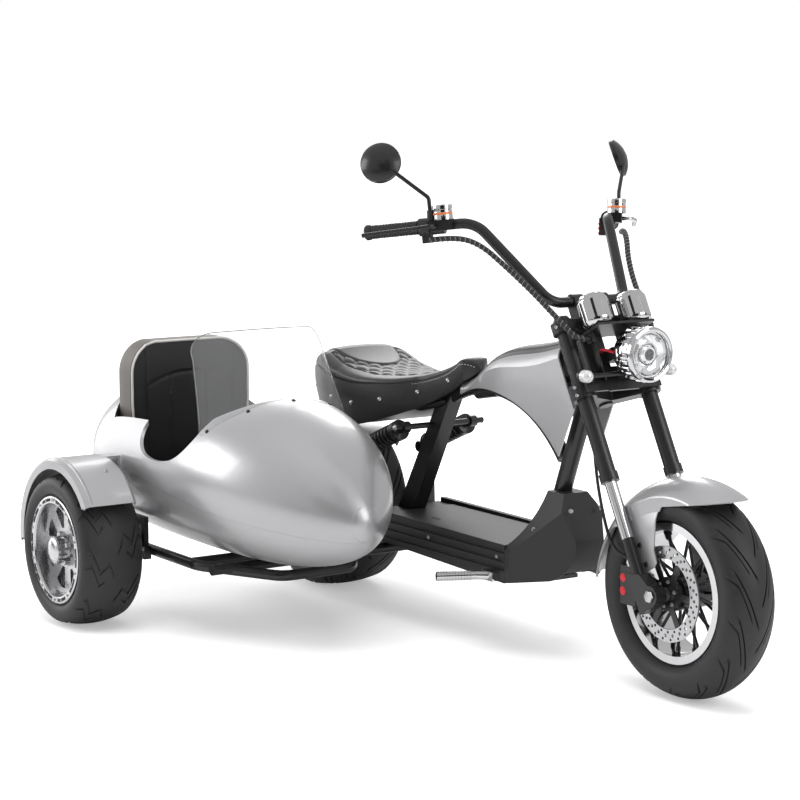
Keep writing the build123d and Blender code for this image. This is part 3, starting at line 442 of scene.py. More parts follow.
def mix(tree: bpy.types.NodeTree, factor: bpy.types.NodeSocket, first: bpy.types.NodeSocket | float,
        second: bpy.types.NodeSocket | float, kind: str = "FLOAT") -> bpy.types.NodeSocket:
    """A mix of two sockets or plain numbers.

    Args:
        tree: The nodes that it joins.
        factor: 0 for the first, 1 for the second.
        first: A socket or a number.
        second: A socket or a number.
        kind: FLOAT, or RGBA for colours.

    Returns:
        The socket that carries the mix.
    """
    node = tree.nodes.new("ShaderNodeMix")
    node.data_type = kind
    tree.links.new(factor, node.inputs["Factor"])
    feed(tree, node.inputs["A"], first)
    feed(tree, node.inputs["B"], second)
    return node.outputs["Result"]


@dataclass(frozen=True)
class Finish:
    """One surface finish: its record slot, colours, gloss and fine structure."""

    name: str
    slot: str
    dark: tuple[float, float, float]
    light: tuple[float, float, float]
    gloss: tuple[float, float] = (0.3, 0.4)
    metallic: float = 0.0
    coat: float = 0.0
    pattern: Pattern = Pattern.MOTTLE
    scale: float = 60.0
    bump: float = 0.0
    clear: float = 0.0
    index: float = 1.45
    made: ClassVar[dict[str, bpy.types.Material]] = {}

    def grain(self, tree: bpy.types.ShaderNodeTree) -> bpy.types.Node:
        """This finish's pattern group, placed in a material with its own values."""
        node = tree.nodes.new("ShaderNodeGroup")
        node.node_tree = pattern_group(self.pattern)
        node.inputs["Scale"].default_value = self.scale
        node.inputs["Dark"].default_value = (*self.dark, 1.0)
        node.inputs["Light"].default_value = (*self.light, 1.0)
        node.inputs["Smooth"].default_value, node.inputs["Rough"].default_value = self.gloss
        return node

    def start(self, name: str) -> tuple[bpy.types.Material, bpy.types.Node, bpy.types.Node]:
        """A material with this finish's constants and its grain, not yet joined up."""
        material = bpy.data.materials.new(name)
        material.use_nodes = True
        tree = material.node_tree
        skin = tree.nodes["Principled BSDF"]
        skin.inputs["Metallic"].default_value = self.metallic
        skin.inputs["Coat Weight"].default_value = self.coat
        skin.inputs["Coat Roughness"].default_value = 0.06
        skin.inputs["Transmission Weight"].default_value = self.clear
        skin.inputs["IOR"].default_value = self.index
        grain = self.grain(tree)
        if self.bump:
            relief = tree.nodes.new("ShaderNodeBump")
            relief.inputs["Strength"].default_value = self.bump
            relief.inputs["Distance"].default_value = 0.001
            tree.links.new(grain.outputs["Height"], relief.inputs["Height"])
            tree.links.new(relief.outputs["Normal"], skin.inputs["Normal"])
        return material, skin, grain

    def material(self) -> bpy.types.Material:
        """The finished material, made once."""
        if self.name not in self.made:
            material, skin, grain = self.start(self.name)
            material.node_tree.links.new(grain.outputs["Colour"], skin.inputs["Base Color"])
            material.node_tree.links.new(grain.outputs["Roughness"], skin.inputs["Roughness"])
            self.made[self.name] = material
        return self.made[self.name]


@dataclass(frozen=True)
class TwoTone:
    """Two finishes on one solid, divided by distance from a wheel's axle or by a plane."""

    name: str
    inner: Finish
    outer: Finish
    split: Split
    origin: tuple[float, float, float]
    normal: tuple[float, float, float]
    limit: float

    def mask(self, tree: bpy.types.ShaderNodeTree) -> bpy.types.NodeSocket:
        """1 where the outer finish lies.

        For RADIUS the offset from the origin loses its part along the normal and its length is compared with
        the limit; for PLANE its part along the normal is.

        Args:
            tree: The material's nodes.

        Returns:
            The socket that carries the mask.
        """
        new, link = tree.nodes.new, tree.links.new
        where = new("ShaderNodeTexCoord")
        offset = new("ShaderNodeVectorMath")
        offset.operation = "SUBTRACT"
        offset.inputs[1].default_value = tuple(to_row(np.array(self.origin)))
        link(where.outputs["Object"], offset.inputs[0])
        measure = new("ShaderNodeVectorMath")
        if self.split is Split.RADIUS:
            measure.operation = "CROSS_PRODUCT"
            length = new("ShaderNodeVectorMath")
            length.operation = "LENGTH"
            link(measure.outputs["Vector"], length.inputs[0])
            value = length.outputs["Value"]
        else:
            measure.operation = "DOT_PRODUCT"
            value = measure.outputs["Value"]
        measure.inputs[1].default_value = self.normal
        link(offset.outputs["Vector"], measure.inputs[0])
        return math_node(tree, "GREATER_THAN", value, self.limit / 1000.0)

    def material(self) -> bpy.types.Material:
        """The finished two-tone material: colour, roughness and metal change at the mask."""
        material, skin, inside = self.inner.start(self.name)
        tree = material.node_tree
        outside = self.outer.grain(tree)
        mask = self.mask(tree)
        ends = {"Base Color": (inside.outputs["Colour"], outside.outputs["Colour"], "RGBA"),
                "Roughness": (inside.outputs["Roughness"], outside.outputs["Roughness"]),
                "Metallic": (self.inner.metallic, self.outer.metallic)}
        for name, pair in ends.items():
            tree.links.new(mix(tree, mask, *pair), skin.inputs[name])
        return material


def grey(level: float, blue: float = 0.0) -> Triple:
    """A neutral colour, with a little more blue where wanted."""
    return (level, level, level + blue)


SILVER = Finish("silver paint", "silver_paint", grey(0.40, 0.01), grey(0.47, 0.01), (0.30, 0.38), 0.60, 0.40,
                scale=900.0)
FRAME = Finish("frame black", "black_frame", grey(0.007), grey(0.014), (0.26, 0.40), 0.0, 0.20, scale=120.0)
PLASTIC = Finish("moulded plastic", "black_plastic", grey(0.014, 0.001), grey(0.026, 0.001), (0.42, 0.56),
                 scale=900.0, bump=0.12)
STRIP = Finish("tank strip", "dark_strip", grey(0.055, 0.001), grey(0.080, 0.002), (0.40, 0.50), scale=500.0,
               bump=0.05)
LEATHER = Finish("saddle leather", "black_leather", (0.020, 0.019, 0.019), (0.036, 0.035, 0.034),
                 (0.30, 0.44), pattern=Pattern.PEBBLE, scale=160.0, bump=0.22)
CLOTH = Finish("seat cover", "black_leather", grey(0.007), grey(0.014), (0.50, 0.65), pattern=Pattern.PEBBLE,
               scale=220.0, bump=0.25)
BAND = Finish("seat side band", "black_leather", (0.10, 0.092, 0.084), (0.15, 0.14, 0.13), (0.5, 0.6),
              pattern=Pattern.PEBBLE, scale=200.0, bump=0.25)
PIPING = Finish("light piping", "black_leather", (0.50, 0.49, 0.47), (0.62, 0.61, 0.59), (0.4, 0.5))
RUBBER = Finish("tyre rubber", "tyre_rubber", grey(0.012, 0.001), grey(0.024, 0.001), (0.44, 0.60),
                scale=70.0, bump=0.10)
SOFT_RUBBER = Finish("soft rubber", "black_rubber", grey(0.012), grey(0.024), (0.45, 0.60), scale=200.0,
                     bump=0.08)
WRAP = Finish("cable wrap", "black_rubber", grey(0.10), grey(0.22), (0.35, 0.5), scale=300.0)
CHROME = Finish("chrome", "chrome", grey(0.56, 0.01), grey(0.66, 0.01), (0.05, 0.11), 1.0, scale=40.0)
ALLOY = Finish("machined alloy", "alloy", grey(0.48, 0.01), grey(0.62, 0.01), (0.20, 0.34), 1.0,
               pattern=Pattern.BRUSHED, scale=60.0, bump=0.04)
STEEL = Finish("brushed steel", "steel", grey(0.46, 0.01), grey(0.60, 0.01), (0.26, 0.40), 1.0,
               pattern=Pattern.BRUSHED, scale=160.0, bump=0.05)
# Painted shade: near-black flat plates laid where a hole or slot would show its shade.
HOLE_SHADE = Finish("painted hole shade", "black_frame", grey(0.006), grey(0.010), (0.6, 0.7))
SCREEN = Finish("clear screen", "clear", (0.84, 0.85, 0.85), grey(0.88), (0.02, 0.04), clear=0.94, index=1.06)
SCREEN_EDGE = Finish("screen edge", "clear", grey(0.16, 0.01), grey(0.22, 0.01), (0.10, 0.20), coat=0.3)
LAMP_GLASS = Finish("lamp glass", "clear", (0.95, 0.96, 0.96), grey(0.99), (0.01, 0.03), clear=0.97,
                    index=1.35)
SIGNAL_LENS = Finish("signal lens", "clear", grey(0.62), grey(0.78), (0.08, 0.16), 0.3, 0.5)
RED_LENS = Finish("red lens", "red_lens", (0.36, 0.010, 0.010), (0.52, 0.02, 0.02), (0.10, 0.2), coat=0.5)
RED_ANODISED = Finish("red anodised", "red_lens", (0.50, 0.02, 0.03), (0.72, 0.04, 0.05), (0.25, 0.35), 0.4)
AMBER = Finish("brake fluid", "clear", (0.60, 0.16, 0.06), (0.75, 0.26, 0.10), (0.08, 0.14), coat=0.4)
DIAL = Finish("dial face", "black_plastic", grey(0.010, 0.002), grey(0.016, 0.002), (0.2, 0.3))
MARKS = Finish("dial marks", "dark_strip", grey(0.70), grey(0.80), (0.4, 0.5))
MIRROR_GLASS = Finish("mirror glass", "chrome", (0.86, 0.87, 0.88), (0.90, 0.91, 0.92), (0.01, 0.03), 1.0)


def add_object(name: str, data: bpy.types.ID) -> bpy.types.Object:
    """A new object in the scene."""
    thing = bpy.data.objects.new(name, data)
    bpy.context.scene.collection.objects.link(thing)
    return thing


def add_piece(name: str, data: bpy.types.ID, body: Body, finish: Finish) -> bpy.types.Object:
    """A new object with a finish, riding on a body."""
    data.materials.append(finish.material())
    piece = add_object(name, data)
    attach(piece, body.value)
    return piece


def make_piece(name: str, surface: Surface, body: Body, finish: Finish, stands_for: Sequence[str] = (),
               sharp: float = 38.0) -> bpy.types.Object:
    """Turns a surface into a piece of the scene.

    Args:
        name: The piece's name.
        surface: Points in the working frame, and faces.
        body: What it moves with.
        finish: Its surface finish.
        stands_for: CAD nodes that it replaces.
        sharp: Edges that turn by more than this many degrees stay crisp.

    Returns:
        The new object, at the origin with its place in its mesh.
    """
    mesh = bpy.data.meshes.new(name)
    mesh.from_pydata(to_row(surface[0]).tolist(), [], surface[1].tolist())
    work = bmesh.new()
    work.from_mesh(mesh)
    bmesh.ops.remove_doubles(work, verts=work.verts, dist=1e-6)
    bmesh.ops.dissolve_degenerate(work, edges=work.edges, dist=1e-7)
    bmesh.ops.recalc_face_normals(work, faces=work.faces)
    work.to_mesh(mesh)
    work.free()
    mesh.shade_smooth()
    mesh.set_sharp_from_angle(angle=math.radians(sharp))
    piece = add_piece(name, mesh, body, finish)
    if stands_for:
        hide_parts(*stands_for)
    LOG.info("%s: %d faces on %s", name, len(mesh.polygons), body.value)
    return piece


# Fork frame: origin on the steering axis, x ahead and up, z along the steering axis
RAKE = math.radians(28.0)
AHEAD = (math.cos(RAKE), 0.0, math.sin(RAKE))
STEER_UP = (-math.sin(RAKE), 0.0, math.cos(RAKE))
FRONT_AXLE = (1470.0, 0.0, 251.0)
REAR_AXLE = (-60.0, 0.0, 238.0)
SIDE_AXLE = (0.0, -830.0, 203.0)
AXLE_LEAD = 83.0
FORK = Place((FRONT_AXLE[0] - AXLE_LEAD * AHEAD[0], 0.0, FRONT_AXLE[2] - AXLE_LEAD * AHEAD[2]), AHEAD,
             STEER_UP)
BAR_END = np.array((704.0, 382.0, 1054.0))
BAR_TOP = np.array((905.0, 205.0, 1084.0))
LEFT_GRIP = Place(tuple(BAR_END), tuple(BAR_TOP - BAR_END), UP)
HULL_Y = -447.0


def cord_piece(name: str, points: np.ndarray, radius: float, body: Body, finish: Finish) -> bpy.types.Object:
    """A flexible cable: one smooth spline whose control points are the route's points.

    Args:
        name: The piece's name.
        points: The route in the working frame.
        radius: Half the cable's diameter.
        body: What it moves with.
        finish: Its surface finish.

    Returns:
        The curve object.
    """
    line = bpy.data.curves.new(name, "CURVE")
    line.dimensions = "3D"
    spline = line.splines.new("NURBS")
    spline.points.add(len(points) - 1)
    row = to_row(points)
    spline.points.foreach_set("co", np.concatenate((row, np.ones((len(row), 1))), 1).ravel())
    spline.points.foreach_set("radius", np.full(len(row), radius / 1000.0))
    spline.order_u = 3
    spline.use_endpoint_u = True
    spline.resolution_u = 12
    line.bevel_depth = 1.0
    line.bevel_resolution = 4
    line.use_fill_caps = True
    return add_piece(name, line, body, finish)


def spline_points(piece: bpy.types.Object) -> np.ndarray:
    """Points along a cable's spline, read from the curve without its bevel, in the working frame."""
    depth = piece.data.bevel_depth
    piece.data.bevel_depth = 0.0
    bpy.context.view_layer.update()
    mesh = bpy.data.meshes.new_from_object(piece.evaluated_get(bpy.context.evaluated_depsgraph_get()))
    piece.data.bevel_depth = depth
    bpy.context.view_layer.update()
    flat = np.empty(len(mesh.vertices) * 3)
    mesh.vertices.foreach_get("co", flat)
    bpy.data.meshes.remove(mesh)
    return flat.reshape(-1, 3) * 1000.0 - SHIFT


def seen_rays(tree: bpy.types.NodeTree) -> tuple[bpy.types.Node, bpy.types.NodeSocket]:
    """The light path node, and 1 where the camera looks at a surface, straight or through a clear pane."""
    path = tree.nodes.new("ShaderNodeLightPath")
    seen = math_node(tree, "MAXIMUM", path.outputs["Is Camera Ray"], path.outputs["Is Transmission Ray"])
    return path, seen


def plain_card(name: str, width: float, height: float, shade: float, rough: float) -> bpy.types.Object:
    """A flat rectangle for the studio, with a plain grey material.

    Args:
        name: Its name, with spaces.
        width: Its width in metres.
        height: Its height in metres.
        shade: How light its grey is.
        rough: Its roughness.

    Returns:
        The new object, at the origin.
    """
    reach = np.array((-0.5, 0.5))
    across, along = np.meshgrid(reach * width, reach * height)
    points, faces = sheet(np.stack((across, along, np.zeros_like(along)), -1))
    mesh = bpy.data.meshes.new(name.replace(" ", "_"))
    mesh.from_pydata(points.tolist(), [], faces.tolist())
    material = bpy.data.materials.new(name)
    material.use_nodes = True
    skin = material.node_tree.nodes["Principled BSDF"]
    skin.inputs["Base Color"].default_value = (*grey(shade), 1.0)
    skin.inputs["Roughness"].default_value = rough
    mesh.materials.append(material)
    return add_object(mesh.name, mesh)


def aim_at(thing: bpy.types.Object, place: Triple, aim: Triple) -> None:
    """Puts a lamp or a card at a place, facing a point."""
    thing.location = place
    thing.rotation_euler = (Vector(aim) - Vector(place)).to_track_quat("-Z", "Y").to_euler()


@dataclass
class Studio:
    """White floor and backdrop, soft lamps and the camera at the photograph's place."""

    camera_at: Triple = (4.73358, -3.199947, 1.39354)
    azimuth: float = 56.266
    elevation: float = 7.624
    sensor: float = 36.0
    focal_pixels: float = 2293.08
    picture_pixels: float = 800.0
    floor_edge: float = 80.0
    floor_fade: tuple[float, float, float, float] = (1.2, 2.6, 0.36, 1.0)
    sky_light: float = 0.42
    sky_mirrored: float = 0.22

    def build(self) -> None:
        """Sets the camera, floor, lamps, dark cards and world."""
        self.camera()
        self.floor()
        self.lamp("top softbox", (0.4, -0.4, 4.2), (0.0, 0.0, 0.2), 3.6, 150.0, mirrored=False)
        self.lamp("front softbox", (4.4, 1.6, 2.6), (0.2, 0.0, 0.4), 2.6, 70.0)
        self.lamp("right softbox", (-3.2, -4.0, 2.3), (-0.3, -0.2, 0.4), 2.6, 95.0)
        self.lamp("tail softbox", (-4.8, -1.4, 1.2), (-0.4, -0.4, 0.5), 2.8, 45.0)
        self.lamp("rear softbox", (-3.6, 2.6, 2.8), (0.0, 0.0, 0.5), 2.4, 60.0)
        self.flag("front flag", (3.2, 2.9, 1.1), (0.6, 0.2, 0.5), 1.1, 1.8)
        self.flag("right flag", (1.6, -4.2, 0.5), (0.0, -0.3, 0.4), 2.0, 0.7)
        self.flag("camera flag", (6.2, -4.3, 2.3), (0.3, -0.2, 0.5), 6.4, 4.4)
        self.flag("rear flag", (-2.6, -2.4, 0.3), (0.0, -0.6, 0.3), 1.6, 0.9)
        self.flag("pod flag", (1.258, -0.698, 1.766), (0.493, 0.244, 0.883), 0.45, 0.75)
        self.world()
        bpy.context.scene.view_settings.view_transform = "Standard"

    def camera(self) -> None:
        """The camera looks along its azimuth and slightly down."""
        data = bpy.data.cameras.new("view")
        data.sensor_width = self.sensor
        data.lens = self.focal_pixels * self.sensor / self.picture_pixels
        eye = add_object("view", data)
        turn, tilt = math.radians(self.azimuth), math.radians(self.elevation)
        ahead = Vector((-math.sin(turn) * math.cos(tilt), math.cos(turn) * math.cos(tilt), -math.sin(tilt)))
        eye.location = self.camera_at
        eye.rotation_euler = ahead.to_track_quat("-Z", "Y").to_euler()
        bpy.context.scene.camera = eye

    def floor(self) -> None:
        """A wide white floor that keeps the shadow near the object and fades to white away from it."""
        floor = plain_card("studio floor", self.floor_edge, self.floor_edge, 0.94, 0.9)
        tree = floor.data.materials[0].node_tree
        skin = tree.nodes["Principled BSDF"]
        skin.inputs["Specular IOR Level"].default_value = 0.0
        skin.inputs["Emission Color"].default_value = (1.0, 1.0, 1.0, 1.0)
        where = tree.nodes.new("ShaderNodeTexCoord")
        reach = tree.nodes.new("ShaderNodeVectorMath")
        reach.operation = "LENGTH"
        tree.links.new(where.outputs["Object"], reach.inputs[0])
        fade = tree.nodes.new("ShaderNodeMapRange")
        for socket, value in zip(("From Min", "From Max", "To Min", "To Max"), self.floor_fade):
            fade.inputs[socket].default_value = value
        tree.links.new(reach.outputs["Value"], fade.inputs["Value"])
        _, seen = seen_rays(tree)
        lift = math_node(tree, "MULTIPLY", seen, fade.outputs["Result"])
        tree.links.new(lift, skin.inputs["Emission Strength"])

    def lamp(self, name: str, place: Triple, aim: Triple, size: float, power: float,
             mirrored: bool = True) -> None:
        """A square soft lamp.

        Args:
            name: The lamp's name.
            place: Where it hangs, in metres.
            aim: The point that it faces.
            size: Its edge in metres.
            power: Its power in watts.
            mirrored: Whether reflections show it.
        """
        data = bpy.data.lights.new(name, "AREA")
        data.size = size
        data.energy = power
        lamp = add_object(name, data)
        lamp.visible_glossy = mirrored
        aim_at(lamp, place, aim)

    def flag(self, name: str, place: Triple, aim: Triple, width: float, height: float) -> None:
        """A dark card that only reflections see, to give polished metal something to show.

        Args:
            name: The card's name.
            place: Its middle, in metres.
            aim: The point that it faces.
            width: Its width in metres.
            height: Its height in metres.
        """
        card = plain_card(name, width, height, 0.02, 1.0)
        aim_at(card, place, aim)
        card.visible_camera = card.visible_diffuse = card.visible_shadow = card.visible_transmission = False

    def world(self) -> None:
        """Pale surroundings: white where the camera or a clear pane looks at them, grey in reflections."""
        world = bpy.data.worlds.new("studio")
        world.use_nodes = True
        tree = world.node_tree
        sky = tree.nodes["Background"]
        sky.inputs["Color"].default_value = (1.0, 1.0, 1.0, 1.0)
        path, seen = seen_rays(tree)
        glossy = path.outputs["Is Glossy Ray"]
        dim = math_node(tree, "MULTIPLY_ADD", glossy, self.sky_mirrored, self.sky_light)
        tree.links.new(mix(tree, seen, dim, 1.0), sky.inputs["Strength"])
        bpy.context.scene.world = world


@dataclass
class Tread:
    """A tyre whose grooves follow a sheared grid, so that their edges stay crisp."""

    name: str
    node: str
    body: Body
    axle: tuple[float, float, float]
    radius: float
    half: float
    bead: float
    bead_half: float
    shoulder: float
    crown: float
    pitches: int
    sweep: float
    zigzag: float
    depth: float = 4.0

    def section(self) -> tuple[np.ndarray, np.ndarray]:
        """The tyre's cross-section and each point's place across the tread.

        Returns:
            Radius and y for each point, and a signed number that is 0 in the middle and 1 at the shoulder.
        """
        foot = self.bead + 13.0
        middle = (foot + self.shoulder) / 2.0
        wall = arc((foot, -self.bead_half), (middle, -self.half), (self.shoulder, -self.crown), 14)
        top = arc((self.shoulder, -self.crown), (self.radius, 0.0), (self.shoulder, self.crown), 49)[1:-1]
        far = wall[::-1] * np.array((1.0, -1.0))
        toe = np.array(((self.bead, -self.bead_half),))
        heel = toe * np.array((1.0, -1.0))
        rows = np.concatenate((toe, wall, top, far, heel))
        rise = np.linspace(1.6, 1.0, 14)
        across = np.concatenate(((-2.0,), -rise, np.linspace(-1.0, 1.0, 49)[1:-1], rise[::-1], (2.0,)))
        return rows, across

    def columns(self) -> tuple[np.ndarray, np.ndarray]:
        """Angles round the wheel and which of four groove slots each one lies in.

        Returns:
            The angles, and four rows of 0 or 1.
        """
        starts = np.array((0.0, 0.25, 0.5, 0.75))
        widths = np.array((0.10, 0.07, 0.10, 0.07))
        lip = 0.008
        steps = np.array((0.0, lip, 0.5, 1.0, 1.0))
        offset = np.array((0.0, 0.0, 0.0, -lip, 0.0))
        slot = starts[:, None] + widths[:, None] * steps + offset
        land = starts[:, None] + widths[:, None] + (0.25 - widths[:, None]) * np.linspace(0.2, 0.8, 4)
        fraction = np.concatenate((slot, land), 1)
        cut = np.zeros((4, 4, fraction.shape[1]))
        cut[np.arange(4), np.arange(4), 1:4] = 1.0
        turn = (np.arange(self.pitches)[:, None] + fraction.ravel()) / self.pitches * TURN
        return turn.ravel(), np.tile(cut.reshape(4, -1), self.pitches)

    def build(self) -> None:
        """The treaded tyre: radius less the groove depth where a slot and its stretch of the tread meet."""
        rows, across = self.section()
        angle, cut = self.columns()
        side = np.abs(across)
        pitch = TURN / self.pitches
        shear = self.sweep * pitch * np.clip(side, 0.0, 1.6) ** 1.15
        shear = shear + self.zigzag * pitch * np.abs((across * 1.5 + 0.5) % 1.0 - 0.5)
        long_cut = smooth(side, 0.06, 0.12) * (1.0 - smooth(side, 0.98, 1.10))
        short_cut = smooth(side, 0.42, 0.48) * (1.0 - smooth(side, 1.10, 1.22))
        left, right = across > 0.0, across < 0.0
        stretch = np.stack((long_cut * left, short_cut * right, long_cut * right, short_cut * left))
        groove = np.einsum("sr,sc->rc", stretch, cut) * self.depth
        turn = angle[None] + shear[:, None]
        reach = rows[:, :1] - groove
        lateral = np.broadcast_to(rows[:, 1:], reach.shape)
        points = np.stack((reach * np.cos(turn), lateral, reach * np.sin(turn)), -1) + np.array(self.axle)
        make_piece(self.name, sheet(points, True, True), self.body, RUBBER, (self.node,), 30.0)


def wheel_place(axle: Sequence[float], y: float, facing: float) -> Place:
    """A frame on a wheel's axle at a lateral offset, its z axis to the right (-1) or left (1)."""
    return Place((axle[0], axle[1] + y, axle[2]), (1.0, 0.0, 0.0), (0.0, facing, 0.0))


@dataclass
class SubAssembly:
    """A part of the vehicle, with the loaded model that its pieces are fitted to."""

    frame: dict
    body: ClassVar[Body] = Body.CHASSIS

    def build(self) -> None:
        """Makes the part's pieces."""

    def dress(self) -> None:
        """Paints the part's CAD nodes; a part whose solids are all replaced has none to paint."""

    def paint(self, finish: Finish | TwoTone, *names: str) -> None:
        """Gives CAD nodes a finish through their material slots."""
        material = finish.material()
        for name in names:
            for slot in self.frame["nodes"][name].material_slots:
                slot.material = material

    def piece(self, name: str, surface: Surface, finish: Finish, *stands_for: str,
              sharp: float = 38.0) -> bpy.types.Object:
        """A new piece on this part's body, made as make_piece says."""
        return make_piece(name, surface, self.body, finish, stands_for, sharp)

    def look_down(self, points: np.ndarray, *names: str) -> tuple[np.ndarray, np.ndarray]:
        """The highest place of some CAD nodes under each point.

        Args:
            points: Points above the nodes, in the working frame.
            names: The nodes to look at.

        Returns:
            Places in the working frame and their normals; a point that sees nothing is left out.
        """
        solids = [self.frame["nodes"][name].data for name in names]
        trees = [BVHTree.FromPolygons([v.co for v in solid.vertices], [p.vertices for p in solid.polygons])
                 for solid in solids]
        down = -Vector(UP)
        rows = [[tree.ray_cast(Vector(point), down) for tree in trees] for point in to_row(points)]
        hits = [[hit for hit in row if hit[0] is not None] for row in rows]
        tops = [max(row, key=lambda hit: hit[0].z) for row in hits if row]
        return np.array([hit[0] for hit in tops]) * 1000.0 - SHIFT, np.array([hit[1] for hit in tops])


@dataclass
class FrontWheel(SubAssembly):
    """Treaded tyre, spoke nipples, and the disc's bolts, with dark dots of painted shade where its holes are.
    """

    body: ClassVar[Body] = Body.FRONT_WHEEL
    disc_right: float = -64.0
    disc_left: float = -60.0
    spoke_pairs: int = 12
    spoke_swing: float = 7.0
    spoke_side: float = 10.0
    nipple_radius: float = 146.0

    def build(self) -> None:
        """Makes the wheel's tread and small hardware."""
        Tread("front_tyre_tread", "front_tyre", self.body, FRONT_AXLE, radius=251.0, half=71.0, bead=154.0,
              bead_half=46.0, shoulder=236.0, crown=50.0, pitches=14, sweep=1.25, zigzag=0.0).build()
        right = wheel_place(FRONT_AXLE, self.disc_right, -1.0)
        left = wheel_place(FRONT_AXLE, self.disc_left, 1.0)
        self.piece("disc_bolts", right.move(spread(bolt(5.0, 4.0), around(30.0, 6, 0.3))), STEEL)
        # Painted shade: thin dark discs on both faces of the disc stand in for its drilled holes.
        dot = lathe(((0.0, 0.3), (3.2, 0.3), (3.2, -0.3), (0.0, -0.3)), 12)
        dots = spread(dot, np.concatenate((around(88.5, 24, 0.09), around(106.0, 24, 0.17))))
        self.piece("disc_hole_shade", join(right.move(dots), left.move(dots)), HOLE_SHADE)
        self.nipples()

    def nipples(self) -> None:
        """A nipple at each spoke's outer end, two to a pair, pointing at the axle."""
        middle = np.arange(self.spoke_pairs) * TURN / self.spoke_pairs
        angle = (middle[:, None] + np.radians((-self.spoke_swing, self.spoke_swing))).ravel()
        out = np.stack((np.cos(angle), np.zeros_like(angle), np.sin(angle)), -1)
        lateral = np.tile((-self.spoke_side, self.spoke_side), self.spoke_pairs)
        spots = np.array(FRONT_AXLE) + self.nipple_radius * out + lateral[:, None] * np.array(LEFT)
        nipple = lathe(((0.0, 12.0), (4.6, 12.0), (5.6, 9.0), (5.6, 0.0), (0.0, 0.0)), 8)
        self.piece("spoke_nipples", spread(nipple, spots, -out), FRAME)

    def dress(self) -> None:
        """Chrome rim with black spokes, and a steel disc on a black carrier."""
        self.paint(TwoTone("front rim", FRAME, CHROME, Split.RADIUS, FRONT_AXLE, LEFT, 137.0), "front_rim")
        self.paint(TwoTone("brake disc", FRAME, STEEL, Split.RADIUS, FRONT_AXLE, LEFT, 82.5), "brake_disc")


@dataclass
class RearWheel(SubAssembly):
    """Treaded tyre and the motor's cover screws."""

    body: ClassVar[Body] = Body.REAR_WHEEL
    cover: float = -64.0

    def build(self) -> None:
        """Makes the rear tread and the screws on both motor covers."""
        Tread("rear_tyre_tread", "rear_tyre", self.body, REAR_AXLE, radius=238.0, half=107.0, bead=154.0,
              bead_half=84.0, shoulder=229.0, crown=84.0, pitches=14, sweep=1.1, zigzag=0.0).build()
        screws = spread(bolt(5.0, 3.0), around(110.0, 10))
        self.piece("motor_screws", both(wheel_place(REAR_AXLE, self.cover, -1.0).move(screws)), STEEL)

    def dress(self) -> None:
        """Black motor in an alloy rim."""
        self.paint(TwoTone("hub motor", FRAME, ALLOY, Split.RADIUS, REAR_AXLE, LEFT, 124.0), "hub_motor")


@dataclass
class SidecarWheel(SubAssembly):
    """Slit tread, outer lip with its slots as painted shade, lug nuts and a toothed centre cap."""

    body: ClassVar[Body] = Body.SIDECAR_WHEEL
    lip_y: float = -80.3
    web_y: float = -54.0
    cap_y: float = -84.0
    slots: int = 10

    def build(self) -> None:
        """Makes the tread and the machined rim's details."""
        Tread("sidecar_tyre_tread", "sidecar_tyre", self.body, SIDE_AXLE, radius=203.0, half=88.0, bead=131.0,
              bead_half=74.0, shoulder=193.0, crown=68.0, pitches=9, sweep=0.35, zigzag=0.55,
              depth=3.0).build()
        face = wheel_place(SIDE_AXLE, self.lip_y, -1.0)
        lip = lathe(((122.0, -3.0), (124.0, 1.5), (126.0, 2.5), (140.0, 2.5), (142.0, 1.0), (142.0, -3.0)), 96,
                    ring=True)
        self.piece("rim_lip", face.move(lip), ALLOY)
        # Painted shade: thin dark plates on the lip's face stand in for its slots.
        sweep = np.linspace(-0.19, 0.19, 9)
        curve = np.stack((np.cos(sweep), np.sin(sweep)), -1)
        slot = plate(np.concatenate((136.5 * curve, 128.5 * curve[::-1])), 0.6, 0.2)
        slots = ring_copies(moved(slot, (0.0, 0.0, 2.3)), 0.0, self.slots)
        self.piece("lip_slot_shade", face.move(slots), HOLE_SHADE)
        spots = around(132.5, self.slots * 2, math.pi / self.slots) + np.array((0.0, 0.0, 2.5))
        lip_bolts = face.move(spread(bolt(3.2, 3.0), spots))
        nut = lathe(((0.0, 15.0), (5.0, 15.0), (8.0, 12.0), (8.0, 0.0), (0.0, 0.0)), 6)
        nuts = wheel_place(SIDE_AXLE, self.web_y, -1.0).move(spread(nut, around(40.0, 5, 0.4)))
        self.piece("rim_bolts", join(lip_bolts, nuts), STEEL)
        teeth = ring_copies(slab((-3.0, -4.0, -26.0), (3.0, 4.0, -2.0), 0.8), 33.5, 16)
        top = lathe(((0.0, 7.0), (12.0, 6.5), (24.0, 4.5), (31.0, 1.0), (33.0, -2.0), (0.0, -2.0)), 40)
        self.piece("cap_teeth", wheel_place(SIDE_AXLE, self.cap_y, -1.0).move(join(teeth, top)), ALLOY)

    def dress(self) -> None:
        """Machined alloy rim."""
        self.paint(ALLOY, "sidecar_rim")


